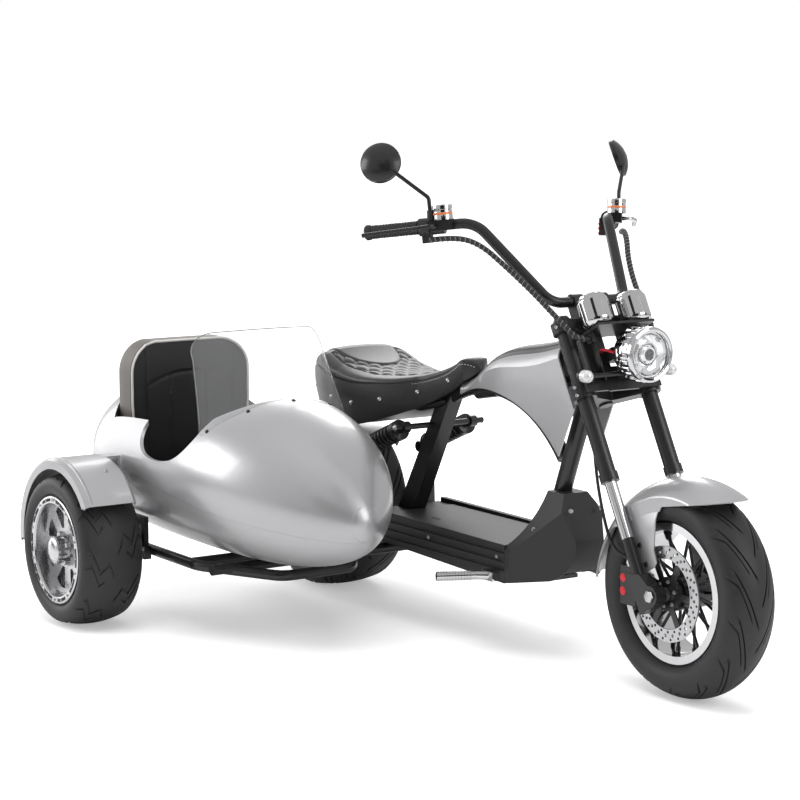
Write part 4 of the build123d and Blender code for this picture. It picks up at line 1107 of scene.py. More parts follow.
@dataclass
class Fork(SubAssembly):
    """Clamp bolts, leg caps, caliper pistons, axle nuts and the brake hose."""

    body: ClassVar[Body] = Body.STEERING
    leg_x: float = 50.0
    leg_y: float = 98.0
    leg_top: float = 702.0

    def build(self) -> None:
        """Makes the fork's hardware."""
        cap = lathe(((0.0, 9.0), (9.0, 9.0), (10.0, 6.0), (17.0, 6.0), (19.0, 3.0), (20.0, 0.0), (0.0, 0.0)),
                    32)
        caps = spread(cap, [(self.leg_x, side * self.leg_y, self.leg_top) for side in (1.0, -1.0)])
        self.piece("leg_caps", FORK.move(caps), FRAME)
        spots = [(self.leg_x + 10.0, -self.leg_y - 27.5, height) for height in (507.0, 527.0, 682.0)]
        self.piece("pinch_bolts", FORK.move(both(spread(bolt(4.6, 4.0), spots, (0.3, -1.0, 0.0)))), STEEL)
        piston = lathe(((0.0, 4.0), (5.0, 4.4), (9.0, 4.0), (11.0, 2.0), (11.0, -1.0), (0.0, -1.0)), 24)
        pistons = spread(piston, ((1334.0, -79.0, 268.0), (1334.0, -79.0, 237.0)), RIGHT)
        self.piece("caliper_pistons", pistons, RED_ANODISED)
        nut = lathe(((0.0, 5.0), (8.0, 5.0), (14.0, 3.5), (15.0, 0.0), (0.0, 0.0)), 6)
        self.piece("axle_nuts", both(spread(nut, ((1470.0, -116.0, 251.0),), RIGHT)), STEEL)
        self.hose()

    def hose(self) -> None:
        """The front brake's hose, from the lower clamp down behind the leg to the caliper."""
        local = np.array(((28.0, -66.0, 494.0), (4.0, -88.0, 360.0), (-20.0, -90.0, 250.0),
                          (-34.0, -84.0, 150.0)))
        ends = np.array(((1348.0, -66.0, 311.0), (1348.0, -66.0, 297.3)))
        route = np.concatenate((FORK.at(local), ends))
        hose = cord_piece("front_brake_hose", route, 4.0, self.body, SOFT_RUBBER)
        length = float(lengths(spline_points(hose))[-1]) / 1000.0
        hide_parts("brake_hose")

    def dress(self) -> None:
        """Black uppers, clamps and bar; lower legs chrome above and black below."""
        legs = TwoTone("fork lowers", FRAME, CHROME, Split.PLANE, FORK.origin, STEER_UP, 150.0)
        self.paint(legs, "fork_lowers")
        self.paint(FRAME, "steering_stem", "lower_clamp", "top_clamp", "fork_uppers", "brake_caliper",
                   "bar_risers", "handlebar", "lamp_bracket")
        self.paint(STEEL, "front_axle")


@dataclass
class FrontFender(SubAssembly):
    """Round-backed fender with a pointed beak, on a stay and a pad at each fork leg."""

    body: ClassVar[Body] = Body.STEERING
    centre: tuple[float, float] = (1498.0, 210.0)
    radius: float = 312.0
    half: float = 80.0
    crown: float = 42.0
    skirt: float = 76.0
    wall: float = 3.0
    first: float = 62.7
    last: float = 171.0
    stay_y: float = -77.0

    def drop(self, turn: np.ndarray) -> np.ndarray:
        """How far the lower edge lies below the crown.

        Ahead of the fork the edge is a plane that rises by 0.178 towards the beak, so its radius is a
        constant over sine less 0.178 cosine. Behind the fork the skirt keeps its depth and then draws up
        over the caliper.

        Args:
            turn: Angles along the fender, from ahead.

        Returns:
            The drop at each angle.
        """
        beak = np.maximum(self.radius - 251.3 / (np.sin(turn) - 0.178 * np.cos(turn)), 0.0)
        rear = self.skirt - 30.0 * smooth(turn, math.radians(130.0), math.radians(141.0))
        behind = smooth(turn, math.radians(97.0), math.radians(100.0))
        return beak * (1.0 - behind) + rear * behind

    def shell(self) -> Surface:
        """The fender's sheet: a round crown that turns into flat sides, carried along a circle.

        The distance from the middle line runs over the crown's arc and then straight down the side, and each
        section ends at the lower edge. The inner face is the outer one moved in by the wall.

        Returns:
            The closed shell.
        """
        turn = np.radians(np.linspace(self.first, self.last, 150))[:, None]
        round_r = (self.half**2 + self.crown**2) / (2.0 * self.crown)
        bend = math.asin(self.half / round_r)
        drop = self.drop(turn)
        over = round_r * np.arccos(np.clip(1.0 - drop / round_r, -1.0, 1.0))
        edge = np.where(drop <= self.crown, over, round_r * bend + drop - self.crown)
        across = np.linspace(-1.0, 1.0, 61)[None]
        run = np.abs(across) * edge
        swing = np.minimum(run / round_r, bend)
        down = np.maximum(run - round_r * bend, 0.0)
        flat = smooth(down, 0.0, 8.0)
        side = np.sign(across)
        y = side * round_r * np.sin(swing)
        low = round_r * (1.0 - np.cos(swing)) + down
        inner_y = y - side * self.wall * (np.sin(swing) * (1.0 - flat) + flat)
        inner_low = low + self.wall * np.cos(swing) * (1.0 - flat)
        outer, inner = (np.stack((self.centre[0] + (self.radius - fall) * np.cos(turn), wide,
                                  self.centre[1] + (self.radius - fall) * np.sin(turn)), -1)
                        for fall, wide in ((low, y), (inner_low, inner_y)))
        return thin_sheet(outer, inner)

    def build(self) -> None:
        """Makes the shell with its stays and pads, the stays' bolts and a rod to each lug."""
        edge = ((1358.0, 424.0), (1354.0, 392.0), (1397.0, 300.0), (1406.0, 291.0), (1418.0, 294.0),
                (1446.0, 312.0), (1453.0, 322.0), (1449.0, 334.0), (1442.0, 350.0), (1446.0, 424.0),
                (1462.0, 462.0), (1400.0, 452.0))
        stay = Place((0.0, self.stay_y, 0.0), FORWARD, RIGHT).move(plate(edge, 2.9, 0.6))
        pad = FORK.move(slab((36.0, -82.7, 190.0), (64.0, self.stay_y, 226.0), 1.0))
        self.piece("fender_shell", join(self.shell(), both(stay), both(pad)), SILVER, "front_fender")
        bolts = spread(bolt(6.5, 4.0), ((1393.0, -79.9, 355.0), (1417.0, -79.9, 313.0)), RIGHT)
        self.piece("stay_bolts", both(bolts), FRAME)
        rod = tube(((1408.0, -86.0, 298.0), (1432.0, -86.0, 236.0)), 4.0, 12)
        self.piece("stay_rods", both(rod), CHROME)


@dataclass
class Controls(SubAssembly):
    """Ribbed grips, reservoirs, switch buttons, mirror glasses and the wrapped cables."""

    body: ClassVar[Body] = Body.STEERING
    grip_length: float = 128.0
    mirror: Triple = (742.0, 372.0, 1226.0)
    mirror_facing: Triple = (0.62, 0.7, 0.35)

    def on_bar(self, name: str, surface: Surface, finish: Finish, *stands_for: str,
               sharp: float = 38.0) -> None:
        """A pair of pieces on the bar, drawn in the left grip's frame."""
        self.piece(name, both(LEFT_GRIP.move(surface)), finish, *stands_for, sharp=sharp)

    def build(self) -> None:
        """Makes the handlebar's controls."""
        along = np.linspace(0.0, self.grip_length, 90)
        ribs = 17.0 - 1.1 * (np.sin(along * TURN / 7.0) > 0.55)
        flange = ((0.0, -8.0), (15.0, -8.0), (16.0, -6.0), (19.0, -4.0), (19.0, 6.0))
        inner = ((18.6, self.grip_length), (13.3, self.grip_length))
        grip, faces = lathe(np.concatenate((flange, np.stack((ribs, along), -1)[5:], inner)), 28)
        self.on_bar("ribbed_grips", (grip[:, (2, 0, 1)], faces), SOFT_RUBBER, "grips", sharp=25.0)
        pot = lathe(((0.0, 38.0), (20.0, 38.0), (23.5, 36.0), (24.6, 32.0), (24.6, 26.0), (23.4, 25.0),
                     (23.4, 12.0), (24.0, 11.0), (24.0, 0.5), (0.0, 0.5)), 36)
        fluid = lathe(((23.2, 12.2), (23.9, 12.8), (23.9, 18.0), (23.2, 18.6)), 36, ring=True)
        spot = (self.grip_length + 69.0, 20.0, 14.0)
        self.on_bar("reservoirs", spread(pot, spot), CHROME)
        self.on_bar("reservoir_fluid", spread(fluid, spot), AMBER)
        buttons = ((136.0, -26.0, -10.0), (144.0, -26.0, -22.0), (138.0, -26.0, -34.0))
        self.on_bar("switch_buttons", spread(dome(4.5, 3.0), buttons, RIGHT), RED_ANODISED)
        collar = lathe(((5.2, 0.0), (8.5, 1.0), (9.0, 8.0), (8.0, 24.0), (6.6, 26.0), (5.2, 26.0)), 18,
                       ring=True)
        self.on_bar("mirror_collars", spread(collar, (167.0, 24.0, 14.3)), SOFT_RUBBER)
        self.mirror_glass()
        self.cables()

    def mirror_glass(self) -> None:
        """Round glasses on the mirrors' rear faces, each in a thin rim."""
        facing = unit(np.array(self.mirror_facing))
        back = np.array(self.mirror) - facing * 8.0
        glass = lathe(((0.0, 1.6), (25.0, 1.3), (46.0, 0.4), (46.0, -0.5), (0.0, -0.5)), 48)
        self.piece("mirror_glasses", both(spread(glass, back, -facing)), MIRROR_GLASS)
        rim = lathe(((46.0, -1.0), (46.2, 2.0), (48.5, 2.6), (50.6, 0.5), (50.6, -3.0), (46.0, -3.0)), 48,
                    ring=True)
        self.piece("mirror_rims", both(spread(rim, back, -facing)), FRAME)

    def cables(self) -> None:
        """Two cable bundles beside the bar, each with a light spiral wrap that follows its spline."""
        clip = FORK.at(np.array((105.0, 0.0, 630.0)))
        half = np.array(((846.0, 300.0, 1040.0), (898.0, 262.0, 1050.0), (955.0, 228.0, 1036.0),
                         (1008.0, 190.0, 984.0), (1075.0, 158.0, 925.0), (1133.0, 140.0, 876.0),
                         (1180.0, 126.0, 836.0), (clip[0], 112.0, clip[2]), (clip[0], 78.3, clip[2])))
        for name, side in (("left_cables", 1.0), ("right_cables", -1.0)):
            route = half * np.array((1.0, side, 1.0))
            cable = cord_piece(name, route, 6.5, self.body, SOFT_RUBBER)
            line = spline_points(cable)
            length = float(lengths(line)[-1])
            run = np.linspace(4.0, length - 12.0, 900)
            path = walk(line, run)
            axes = bases(np.gradient(path, axis=0))
            turn = run / 13.0 * TURN
            coil = path + 6.3 * (np.cos(turn)[:, None] * axes[:, 0] + np.sin(turn)[:, None] * axes[:, 1])
            wrap = self.piece(name + "_wrap", tube(coil, 1.3, 5), WRAP)
            if side < 0.0:
                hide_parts("control_cables")

    def dress(self) -> None:
        """Black mirrors, cylinders and switches; a chrome lever on the left and a black one on the right."""
        self.paint(FRAME, "mirrors", "master_cylinders")
        self.paint(PLASTIC, "switch_housings")
        self.paint(TwoTone("levers", FRAME, CHROME, Split.PLANE, (0.0, 0.0, 0.0), LEFT, 0.0), "brake_levers")


@dataclass
class Lamps(SubAssembly):
    """Finned headlight with its projector, dials on the pods, and a red wire."""

    body: ClassVar[Body] = Body.STEERING
    head: Triple = (1327.0, 0.0, 787.0)

    def build(self) -> None:
        """Makes the lamps' details."""
        lamp = Place(self.head, LEFT, FORWARD)
        fins = ring_copies(slab((-4.0, -3.2, -58.0), (2.0, 3.2, -10.0), 1.0), 63.5, 24)
        bezel = lathe(((54.5, 0.0), (55.0, 3.0), (60.0, 4.5), (65.0, 2.0), (66.5, -4.0), (66.0, -9.0),
                       (62.9, -10.0)), 64, ring=True)
        self.piece("headlight_fins", lamp.move(join(fins, bezel)), CHROME)
        bowl = lathe(((52.0, -7.0), (44.0, -16.0), (34.0, -20.0), (30.0, -12.0), (27.0, -8.0), (24.0, -12.0),
                      (24.0, -22.0), (52.0, -22.0)), 64, ring=True)
        self.piece("headlight_reflector", lamp.move(bowl), CHROME)
        swing = np.linspace(0.0, math.pi / 2.0, 9)
        ball = np.stack((21.0 * np.sin(swing), -15.0 + 12.0 * np.cos(swing)), -1)
        eye = lathe(np.concatenate((ball, ((21.0, -20.0), (0.0, -20.0)))), 48)
        self.piece("projector_lens", lamp.move(eye), DIAL)
        self.dials()
        start = FORK.at(np.array((88.0, -40.0, 600.0)))
        end = np.array((1236.0, -36.0, 786.0))
        step = np.linspace(0.0, 1.0, 16)[:, None]
        path = start + (end - start) * step + np.array((0.0, -16.0, 8.0)) * np.sin(step * math.pi)
        self.piece("lamp_wire", tube(path, 3.4, 8), RED_ANODISED)

    def dials(self) -> None:
        """A dark dial with plain marks and a hand on the rider's side of each pod, under a chrome rim."""
        spots = ((131.0, 58.0, 724.3), (131.0, -58.0, 724.3))
        face = lathe(((0.0, 0.8), (27.0, 0.8), (27.0, -1.0), (0.0, -1.0)), 40)
        angle = np.linspace(-2.3, 2.3, 11)
        out = np.stack((np.cos(angle), np.sin(angle), np.zeros_like(angle)), -1)
        ticks = spread(slab((-0.6, -0.6, 0.0), (0.6, 0.6, 4.5), 0.1), 20.0 * out + np.array(UP), out)
        hand = slab((-1.0, -2.0, 0.9), (1.0, 19.0, 1.7), 0.2)
        rim = lathe(((26.0, -1.0), (26.0, 2.4), (29.0, 3.4), (33.0, 0.0), (33.6, -3.4), (26.0, -3.4)), 48,
                    ring=True)
        for name, shape, finish in (("dial_faces", face, DIAL), ("dial_marks", join(ticks, hand), MARKS),
                                    ("dial_rims", rim, CHROME)):
            self.piece(name, FORK.move(spread(shape, spots)), finish)

    def dress(self) -> None:
        """Chrome headlight and pods, clear glass, signals with black backs."""
        self.paint(CHROME, "headlight", "gauge_pods")
        self.paint(LAMP_GLASS, "headlight_lens")
        signal = tuple(FORK.at(np.array((109.3, 0.0, 536.0))))
        lens = TwoTone("turn signals", FRAME, SIGNAL_LENS, Split.PLANE, signal, FORWARD, -4.0)
        self.paint(lens, "turn_signals")


@dataclass
class Deck(SubAssembly):
    """The deck's mat, cowl bolts, peg ridges and the tank's pad."""

    top: float = 276.0
    peg_start: Triple = (868.0, -171.0, 202.0)
    peg_end: Triple = (826.0, -262.0, 202.0)

    def build(self) -> None:
        """Makes the deck's mat and hardware, and the tank's pad."""
        mat = slab((370.0, -108.0, self.top - 0.5), (910.0, 108.0, self.top + 3.0), 1.2)
        self.piece("deck_mat", mat, PLASTIC)
        # Painted shade: a thin dark oval on the mat stands in for a slot.
        oval = np.array((22.0, 7.0)) * around(1.0, 20)[:, :2] + np.array((520.0, -52.0))
        self.piece("deck_slot_shade", moved(plate(oval, 0.6, 0.2), (0.0, 0.0, self.top + 2.8)), HOLE_SHADE)
        bolts = spread(bolt(6.0, 3.5), ((1087.0, -44.0, 384.0), (1000.0, -90.5, 330.0)), (0.45, -0.85, 0.3))
        side_bolts = spread(bolt(5.0, 3.0), [(x, -130.6, 250.0) for x in (340.0, 600.0, 900.0)], RIGHT)
        self.piece("cowl_bolts", both(join(bolts, side_bolts)), STEEL)
        start, end = np.array(self.peg_start), np.array(self.peg_end)
        ridge = lathe(((11.0, -2.0), (12.4, -1.2), (12.4, 1.2), (11.0, 2.0)), 20, ring=True)
        ridges = spread(ridge, start + (end - start) * np.linspace(0.15, 0.95, 12)[:, None], end - start)
        self.piece("peg_ridges", both(ridges), CHROME)
        self.tank_band()

    def tank_band(self) -> None:
        """The dark pad along the tank's top, a thin sheet laid on the tank by looking down on it."""
        x = np.linspace(694.3, 1038.7, 60)
        half = np.interp(x, (692.0, 720.0, 800.0), (30.0, 40.0, 46.0))
        y = half[:, None] * np.linspace(-1.0, 1.0, 24)
        above = np.stack(np.broadcast_arrays(x[:, None], y, 1100.0), -1)
        places, _ = self.look_down(above.reshape(-1, 3), "tank_cover", "tank_strip")
        upper = np.stack((above[..., 0], y, places[:, 2].reshape(y.shape) + 1.0), -1)
        self.piece("tank_band", thin_sheet(upper, upper - 2.5 * np.array(UP)), STRIP)

    def dress(self) -> None:
        """Black frame and mouldings, silver tank with a dark strip, chrome pegs."""
        self.paint(FRAME, "main_frame")
        self.paint(PLASTIC, "deck_cover", "battery_pack", "deck_sides", "front_cowl")
        self.paint(CHROME, "foot_pegs")
        self.paint(SILVER, "tank_cover")
        self.paint(STRIP, "tank_strip")


@dataclass
class Saddle(SubAssembly):
    """Scooped leather saddle: crowned pad with a tufted panel, a stitched seam and a studded skirt."""

    length: float = 654.0
    rows: int = 230

    def lines(self, x: np.ndarray) -> tuple[np.ndarray, ...]:
        """The saddle's top height, bottom height and half width along its length.

        Each line is made of arcs read at x.

        Args:
            x: Places along the saddle.

        Returns:
            Top, bottom and half width for each place.
        """
        top = np.concatenate((arc((2, 640), (40, 686), (96, 693), 20),
                              arc((96, 693), (400, 650), (596, 704), 40),
                              arc((596, 704), (646, 702), (654, 684), 12)))
        low = np.concatenate((((0.0, 566.0), (100.0, 514.0)), arc((250, 503), (480, 580), (636, 664), 30),
                              ((654.0, 684.0),)))
        wide = np.concatenate((arc((0, 96), (60, 138), (170, 150), 20),
                               arc((170, 150), (330, 128), (450, 66), 30),
                               arc((450, 66), (540, 46), (620, 42), 16), ((654.0, 14.0),)))
        ordered = (line[np.argsort(line[:, 0], kind="stable")] for line in (top, low, wide))
        return tuple(np.interp(x, *line.T) for line in ordered)

    def build(self) -> None:
        """Makes the saddle's leather, seam stitches and studs."""
        swing = np.linspace(0.0, math.pi, self.rows)
        x = self.length * (0.5 - 0.5 * np.cos(swing))
        top, low, wide = self.lines(x)
        back = np.clip(1.0 - x / 40.0, 0.0, 1.0)
        wide = wide * (1.0 - back**4) ** 0.25
        front = np.clip((x - 610.0) / 44.0, 0.0, 1.0)
        wide = np.maximum(wide * (1.0 - front**3) ** 0.5, 0.0)
        low = np.minimum(low, top - 6.0)
        crown = np.interp(x, (0.0, 60.0, 160.0, 330.0, 560.0, 654.0), (30.0, 46.0, 44.0, 24.0, 18.0, 8.0))
        crown = np.minimum(crown, (top - low) * 0.5)
        reach = np.linspace(0.0, 1.0, 14)
        skirt_y = 0.88 + 0.12 * np.sin(reach * math.pi * 0.62) ** 0.8
        pad = np.linspace(0.0, 1.0, 56)
        pad_y = np.cos(pad * math.pi / 2.0) ** 0.85
        pad_z = np.sin(pad * math.pi / 2.0) ** 0.62
        under = np.linspace(0.0, 0.86, 6)
        side_y = np.concatenate((under, skirt_y, (0.955, 0.94), 0.965 * pad_y))
        rise = (top - crown - low)[:, None]
        skirt_z = low[:, None] + rise * reach
        seam = (top - crown)[:, None] + np.array((1.0, -1.5))
        dome_z = (top - crown)[:, None] + 2.0 + (crown - 2.0)[:, None] * pad_z
        side_z = np.concatenate((np.repeat(low[:, None] + 3.0, 6, 1), skirt_z, seam, dome_z), 1)
        y = wide[:, None] * side_y
        z = side_z + self.tufts(x[:, None], y, len(side_y) - 56)
        points = np.stack(np.broadcast_arrays(x[:, None], y, z), -1)
        mirror = points[:, ::-1] * np.array((1.0, -1.0, 1.0))
        whole = np.concatenate((points, mirror[:, 1:-1]), 1)
        leather = sheet(whole, wrap_cols=True)
        saddle = self.piece("leather_saddle", leather, LEATHER, "saddle", sharp=60.0)
        self.stitches(x, wide, top, crown)
        self.studs()

    def tufts(self, x: np.ndarray, y: np.ndarray, first: int) -> np.ndarray:
        """Height added by the quilting.

        Inside a crescent ahead of the tail pad, rounded cells lie on two crossing sets of lines; the cell's
        height is the root of the product of two sines, and a groove runs along the crescent's edge.

        Args:
            x: Places along the saddle, as a column.
            y: Places across it.
            first: The first column that belongs to the pad.

        Returns:
            Heights for the whole section, 0 outside the pad.
        """
        oval = np.sqrt(((x - 70.0) / 150.0) ** 2 + (y / 92.0) ** 2)
        width = np.abs(y) / np.interp(x, (80.0, 180.0, 300.0, 430.0), (112.0, 116.0, 96.0, 40.0))
        span = smooth(x, 92.0, 100.0) * (1.0 - smooth(x, 404.0, 412.0))
        inside = smooth(oval, 1.0, 1.06) * (1.0 - smooth(width, 0.94, 1.0)) * span
        edge = inside * (1.0 - inside) * 4.0
        along, across = x / 62.0, y / 44.0
        cell = np.abs(np.sin(math.pi * (along + across)) * np.sin(math.pi * (along - across))) ** 0.45
        tail = (1.0 - smooth(oval, 0.97, 1.0)) * 3.0
        lift = inside * (7.0 * cell - 4.0) - 3.5 * edge + tail
        return np.where(np.arange(y.shape[1]) >= first, lift, 0.0)

    def stitches(self, x: np.ndarray, wide: np.ndarray, top: np.ndarray, crown: np.ndarray) -> None:
        """Short stitches below the seam, evenly spaced along it.

        Args:
            x: Places along the saddle.
            wide: Half width at each place.
            top: Top height at each place.
            crown: Height of the pad over the seam.
        """
        seam = np.stack((x, -wide * 0.985, top - crown - 4.0), -1)[12:-12]
        spots = walk(seam, np.arange(6.0, lengths(seam)[-1] - 6.0, 8.0))
        stitch = slab((-0.7, -0.7, -2.4), (0.7, 0.7, 2.4), 0.3)
        self.piece("saddle_stitches", both(spread(stitch, spots, np.gradient(spots, axis=0))), PIPING)

    def studs(self) -> None:
        """Chrome studs along the skirt, each on the leather at its height."""
        x = np.array((70.0, 160.0, 250.0, 350.0, 450.0, 560.0))
        top, low, wide = self.lines(x)
        z = low + (top - low) * np.array((0.40, 0.40, 0.42, 0.46, 0.48, 0.46))
        normals = np.stack((-np.gradient(wide, x), -np.ones_like(x), np.full_like(x, 0.12)), -1)
        studs = spread(dome(6.5, 4.5), np.stack((x, -wide * 0.99, z), -1), normals)
        self.piece("saddle_studs", both(studs), CHROME)


@dataclass
class RearEnd(SubAssembly):
    """Coil-over shocks with real springs, and the rear fender's finish."""

    low: Triple = (215.0, -107.7, 420.0)
    high: Triple = (458.0, -107.7, 520.0)
    turns: float = 9.5

    def build(self) -> None:
        """Makes each shock's damper, eyes, spring and bolt."""
        start, end = np.array(self.low), np.array(self.high)
        run = float(np.linalg.norm(end - start))
        damper = lathe(((0.0, 10.0), (9.0, 10.0), (9.0, 36.0), (27.0, 39.0), (28.0, 42.0), (26.0, 46.0),
                        (14.0, 48.0), (14.0, run - 60.0), (18.0, run - 58.0), (18.0, run - 44.0),
                        (28.0, run - 44.0), (28.0, run - 26.0), (10.0, run - 22.0), (10.0, run - 10.0),
                        (0.0, run - 10.0)), 32)
        eye = lathe(((8.4, -10.0), (15.0, -10.0), (15.0, 10.0), (8.4, 10.0)), 28, ring=True)
        bodies = join(spread(damper, start, end - start), spread(eye, (start, end), LEFT))
        self.piece("shock_dampers", both(bodies), FRAME, "rear_shocks")
        step = np.linspace(0.0, 1.0, 420)
        angle = step * self.turns * TURN
        coil = np.stack((23.0 * np.cos(angle), 23.0 * np.sin(angle), 50.0 + (run - 98.0) * step), -1)
        self.piece("shock_springs", both(spread(tube(coil, 4.2, 9), start, end - start)), FRAME)
        self.piece("shock_bolts", both(spread(dome(9.0, 6.0), (458.0, -141.0, 520.0), RIGHT)), CHROME)

    def dress(self) -> None:
        """Black swing arms, steel axle, silver fender, red tail lamp."""
        self.paint(FRAME, "swingarms")
        self.paint(STEEL, "rear_axle")
        self.paint(SILVER, "rear_fender")
        self.paint(RED_LENS, "tail_lamp")


@dataclass
class Sidecar(SubAssembly):
    """Lined cockpit, padded seat and backrest, rounded hull ends, screen edge, fender trim and fasteners."""

    back_y: float = -460.0
    fender_centre: Triple = (0.0, -830.0, 217.0)
    fender_radius: float = 228.0

    def build(self) -> None:
        """Makes the sidecar's soft pieces and trim."""
        self.backrest()
        self.seat()
        self.end_caps()
        self.liner()
        self.fasteners()
        self.screen_edge()
        self.fender_trim()

    def outline(self) -> np.ndarray:
        """The backrest's outline in y and z: straight sides, wide round top corners."""
        right = np.concatenate((
            np.linspace((168.0, 350.0), (182.0, 560.0), 24), np.linspace((182.0, 566.0), (182.0, 636.0), 10),
            arc((182.0, 640.0), (156.0, 704.0), (86.0, 727.0), 22),
            np.linspace((80.0, 727.0), (0.0, 727.0), 12)))
        left = right[::-1][1:] * np.array((-1.0, 1.0))
        floor = np.linspace((-160.0, 350.0), (160.0, 350.0), 20)
        return np.concatenate((right, left, floor))

    def backrest(self) -> None:
        """The backrest: rings of the outline drawn towards the middle, crowned in front, with sewn seams.

        The front swells by a fourth-power dome, less a groove along an arched seam and two upright ones.
        """
        edge = self.outline()
        middle = np.array((0.0, 545.0))
        border_rings = (0.985, 1.0, 1.0, 1.0, 0.985)
        scale = np.concatenate((np.linspace(0.0, 0.96, 10), border_rings, np.linspace(0.97, 0.0, 44)))
        flat = middle + scale[:, None, None] * (edge - middle)
        y, z = flat[..., 0], flat[..., 1]
        bow = 22.0 * (y / 182.0) ** 2
        rear = -158.0 + 0.4 * bow
        front = -92.0 + bow + 12.0 * (1.0 - scale[:, None] ** 4)
        arch = np.abs(z - (640.0 - 34.0 * (y / 130.0) ** 2))
        seams = np.exp(-((arch / 3.2) ** 2)) * (np.abs(y) < 132.0)
        uprights = np.exp(-(((np.abs(y) - 56.0) / 3.0) ** 2)) * (z < 640.0 - 34.0 * (y / 130.0) ** 2)
        border = np.exp(-(((np.abs(y) - 132.0) / 3.2) ** 2))
        front = front - 4.0 * np.clip(seams + uprights + border, 0.0, 1.0)
        depth = np.concatenate((np.zeros(10), (0.02, 0.10, 0.5, 0.92, 0.99), np.ones(44)))[:, None]
        x = rear + (front - rear) * depth
        points = np.stack((x, y + self.back_y, z), -1)
        seat_edge = 13
        inner = points[seat_edge] + (points[seat_edge].mean(0) - points[seat_edge]) * 0.999
        cushion = sheet(np.concatenate((inner[None], points[seat_edge:])), wrap_cols=True)
        back = self.piece("backrest_cushion", cushion, CLOTH, "sidecar_backrest", sharp=60.0)
        shell = sheet(np.concatenate((points[:seat_edge + 1], inner[None])), wrap_cols=True)
        self.piece("backrest_shell", shell, BAND, sharp=60.0)
        self.piece("backrest_piping", tube(points[seat_edge + 1, :-20], 3.6, 8), PIPING)

    def seat(self) -> None:
        """The seat cushion: a superellipse in plan, drawn in at the foot and crowned on top."""
        angle = np.linspace(0.0, TURN, 96, endpoint=False)
        lobe = (np.abs(np.cos(angle)) ** 5 + np.abs(np.sin(angle)) ** 5) ** -0.2
        plan = np.stack((100.0 + 164.0 * lobe * np.cos(angle), HULL_Y + 184.0 * lobe * np.sin(angle)), -1)
        middle = np.array((100.0, HULL_Y))
        side_rings = (0.95, 0.985, 1.0, 0.985, 0.95)
        scale = np.concatenate((np.linspace(0.0, 0.9, 5), side_rings, np.linspace(0.9, 0.0, 26)))
        rise = np.concatenate((np.zeros(5), (0.05, 0.2, 0.5, 0.8, 0.95), np.ones(26)))[:, None]
        flat = middle + scale[:, None, None] * (plan - middle)
        on_top = rise > 0.97
        crown = 16.0 * (1.0 - scale[:, None] ** 3) * on_top
        groove = 3.0 * np.exp(-(((np.abs(flat[..., 1] - HULL_Y) - 62.0) / 3.5) ** 2)) * on_top
        z = 250.0 + 92.0 * rise + crown - groove
        cushion = sheet(np.stack(np.broadcast_arrays(flat[..., 0], flat[..., 1], z), -1), wrap_cols=True)
        self.piece("seat_cushion", cushion, CLOTH, "sidecar_seat", sharp=60.0)

    def end_caps(self) -> None:
        """Rounded nose and tail: oval domes that fall with the square of the distance from the middle.

        At its rim the nose's dome leans as the hull does there, so that no edge shows, which puts its middle a
        little low.
        """
        reach = np.linspace(0.0, 1.0, 16)[:, None]
        angle = np.linspace(0.0, TURN, 72, endpoint=False)
        caps = (("hull_nose", 790.0, 44.0, 348.0, 46.0, 15.5, 3.6),
                ("hull_tail", -330.0, 120.0, 420.0, 100.0, -34.0, 0.0))
        for name, x, half, middle, tall, rise, sag in caps:
            height = middle + tall * reach * np.sin(angle) - sag * (1.0 - reach**2)
            face = np.stack(np.broadcast_arrays(
                x + rise * (1.0 - reach**2), HULL_Y + half * reach * np.cos(angle), height), -1)
            rim = face[-1:] - np.array((math.copysign(0.5, rise), 0.0, 0.0))
            rear = np.broadcast_to(np.array((rim[0, 0, 0], HULL_Y, middle)), rim.shape)
            cap = sheet(np.concatenate((face, rim, rear)), wrap_cols=True)
            self.piece(name, cap, SILVER, sharp=60.0)

    def liner(self) -> None:
        """Black lining inside the hull, left out where the cockpit is open.

        Oval sections are read from the hull's own table at each x, drawn in by the wall and a little more;
        faces in the opening's plan or its side notch are dropped.
        """
        table = np.array(((-330.0, 120.0, 420.0, 100.0), (-270.0, 214.0, 414.0, 176.0),
                          (-80.0, 264.0, 412.0, 216.0), (200.0, 272.0, 412.0, 222.0),
                          (440.0, 252.0, 406.0, 212.0), (600.0, 200.0, 388.0, 178.0)))
        inset = 16.0
        x = np.linspace(-250.0, 560.0, 140)
        half, centre, tall = (np.interp(x, table[:, 0], column)[:, None] for column in table.T[1:])
        angle = np.linspace(0.0, TURN, 220, endpoint=False)
        y = HULL_Y + (half - inset) * np.cos(angle)
        z = np.maximum(centre + (tall - inset) * np.sin(angle), 212.0)
        points, faces = sheet(np.stack(np.broadcast_arrays(x[:, None], y, z), -1), wrap_cols=True)
        spot = points[faces].mean(1)
        offset = np.abs(spot[:, 1] - HULL_Y)
        nose = 300.0 + 150.0 * np.sqrt(np.clip(1.0 - (offset / 236.0) ** 2, 0.0, 1.0))
        high = spot[:, 2] > 440.0
        open_top = high & (offset < 240.0) & (spot[:, 0] < nose)
        notch = high & (spot[:, 1] < HULL_Y) & (spot[:, 0] > 40.0) & (spot[:, 0] < 440.0)
        lining = self.piece("cockpit_lining", (points, faces[~(open_top | notch)]), CLOTH)
        wall = lining.modifiers.new("wall", "SOLIDIFY")
        wall.thickness = 0.003
        wall.offset = 0.0

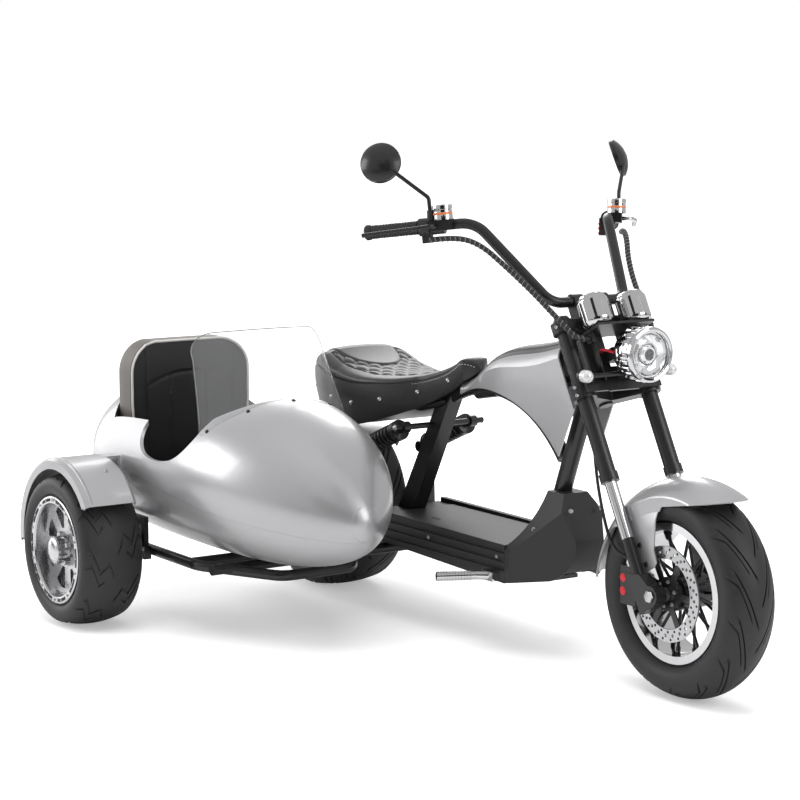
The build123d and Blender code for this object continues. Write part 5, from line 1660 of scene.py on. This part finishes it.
    def fasteners(self) -> None:
        """Screws round the cockpit's front, seated by looking down on the hull, and clips on the frame."""
        angle = np.radians((-62.0, -31.0, 0.0, 31.0, 62.0))
        above = np.stack((300.0 + 152.0 * np.cos(angle), HULL_Y + 236.0 * np.sin(angle),
                          np.full_like(angle, 900.0)), -1)
        places, normals = self.look_down(above, "sidecar_upper_hull")
        self.piece("hull_screws", spread(bolt(5.5, 3.0), places, normals), FRAME)
        points, faces = slab((-26.0, -2.0, -8.0), (26.0, 2.0, 8.0), 1.0)
        large = moved((points, faces), (12.0, -678.0, 246.0))
        small = moved((points * np.array((0.7, 1.0, 0.7)), faces), (40.0, -678.0, 190.0))
        self.piece("frame_clips", join(large, small), ALLOY)

    def screen_edge(self) -> None:
        """The windscreen's polished edge: its outline in y and z, laid on a leaning half cylinder.

        At each height the cylinder's middle lies 0.639 times the rise further back, and x is that middle plus
        the root of the squared radius less the squared distance from the hull's middle.
        """
        side = np.concatenate((np.linspace((-217.0, 558.0), (-196.0, 716.0), 30),
                               arc((-196, 716), (-182, 762), (-138, 784), 24),
                               arc((-138, 784), (0, 790), (138, 784), 40),
                               arc((138, 784), (182, 762), (196, 716), 24),
                               np.linspace((196.0, 716.0), (217.0, 558.0), 30)))
        x = 309.0 - 0.639 * (side[:, 1] - 430.0) + np.sqrt(248.5**2 - side[:, 0] ** 2)
        path = np.stack((x, side[:, 0] + HULL_Y, side[:, 1]), -1)
        fresh = np.concatenate(((True,), np.linalg.norm(np.diff(path, axis=0), axis=1) > 0.5))
        self.piece("screen_edge", tube(path[fresh], 1.2, 8), SCREEN_EDGE)

    def fender_trim(self) -> None:
        """Two raised beads near the fender's outer edge, a skirt below that edge, and screws on the crown."""
        turn = np.radians(np.linspace(36.0, 184.0, 90))[:, None]
        centre = np.array(self.fender_centre)
        circle = np.concatenate((np.cos(turn), np.zeros_like(turn), np.sin(turn)), -1)
        crest = (self.fender_radius + 0.2) * circle
        beads = [tube(crest + np.array((0.0, y, 0.0)), 1.6, 8) for y in (-64.0, -57.0)]
        radius, y = np.array(((212.0, 212.0, 200.0, 199.0, 200.0), (-75.2, -77.9, -77.9, -76.5, -75.2)))
        strip = np.stack(np.broadcast_arrays(radius * np.cos(turn), y, radius * np.sin(turn)), -1)
        ends = np.broadcast_to(strip.mean(1, keepdims=True), strip.shape)
        skirt = sheet(np.concatenate((ends[:1], strip, ends[-1:])), wrap_cols=True)
        self.piece("fender_beads", moved(join(*beads, skirt), centre), SILVER)
        spot = np.radians((62.0, 120.0))
        out = np.stack((np.cos(spot), np.zeros_like(spot), np.sin(spot)), -1)
        screws = spread(bolt(5.0, 3.0), centre + 20.0 * np.array(LEFT) + out * self.fender_radius, out)
        self.piece("fender_screws", screws, STEEL)

    def dress(self) -> None:
        """Silver hull and fender, clear screen, black under-frame."""
        self.paint(SILVER, "sidecar_lower_hull", "sidecar_upper_hull", "sidecar_fender")
        self.paint(SCREEN, "sidecar_windscreen")
        self.paint(FRAME, "sidecar_frame", "sidecar_axle")


def main() -> None:
    """Loads the frame, builds and dresses every sub-assembly."""
    logging.basicConfig(level=logging.INFO, format="%(name)s %(message)s")
    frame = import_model()
    Studio().build()
    for kind in (FrontWheel, RearWheel, SidecarWheel, Fork, FrontFender, Controls, Lamps, Deck, Saddle,
                 RearEnd, Sidecar):
        group = kind(frame)
        group.build()
        group.dress()
        LOG.info("%s done", kind.__name__)


if __name__ == "__main__":
    main()
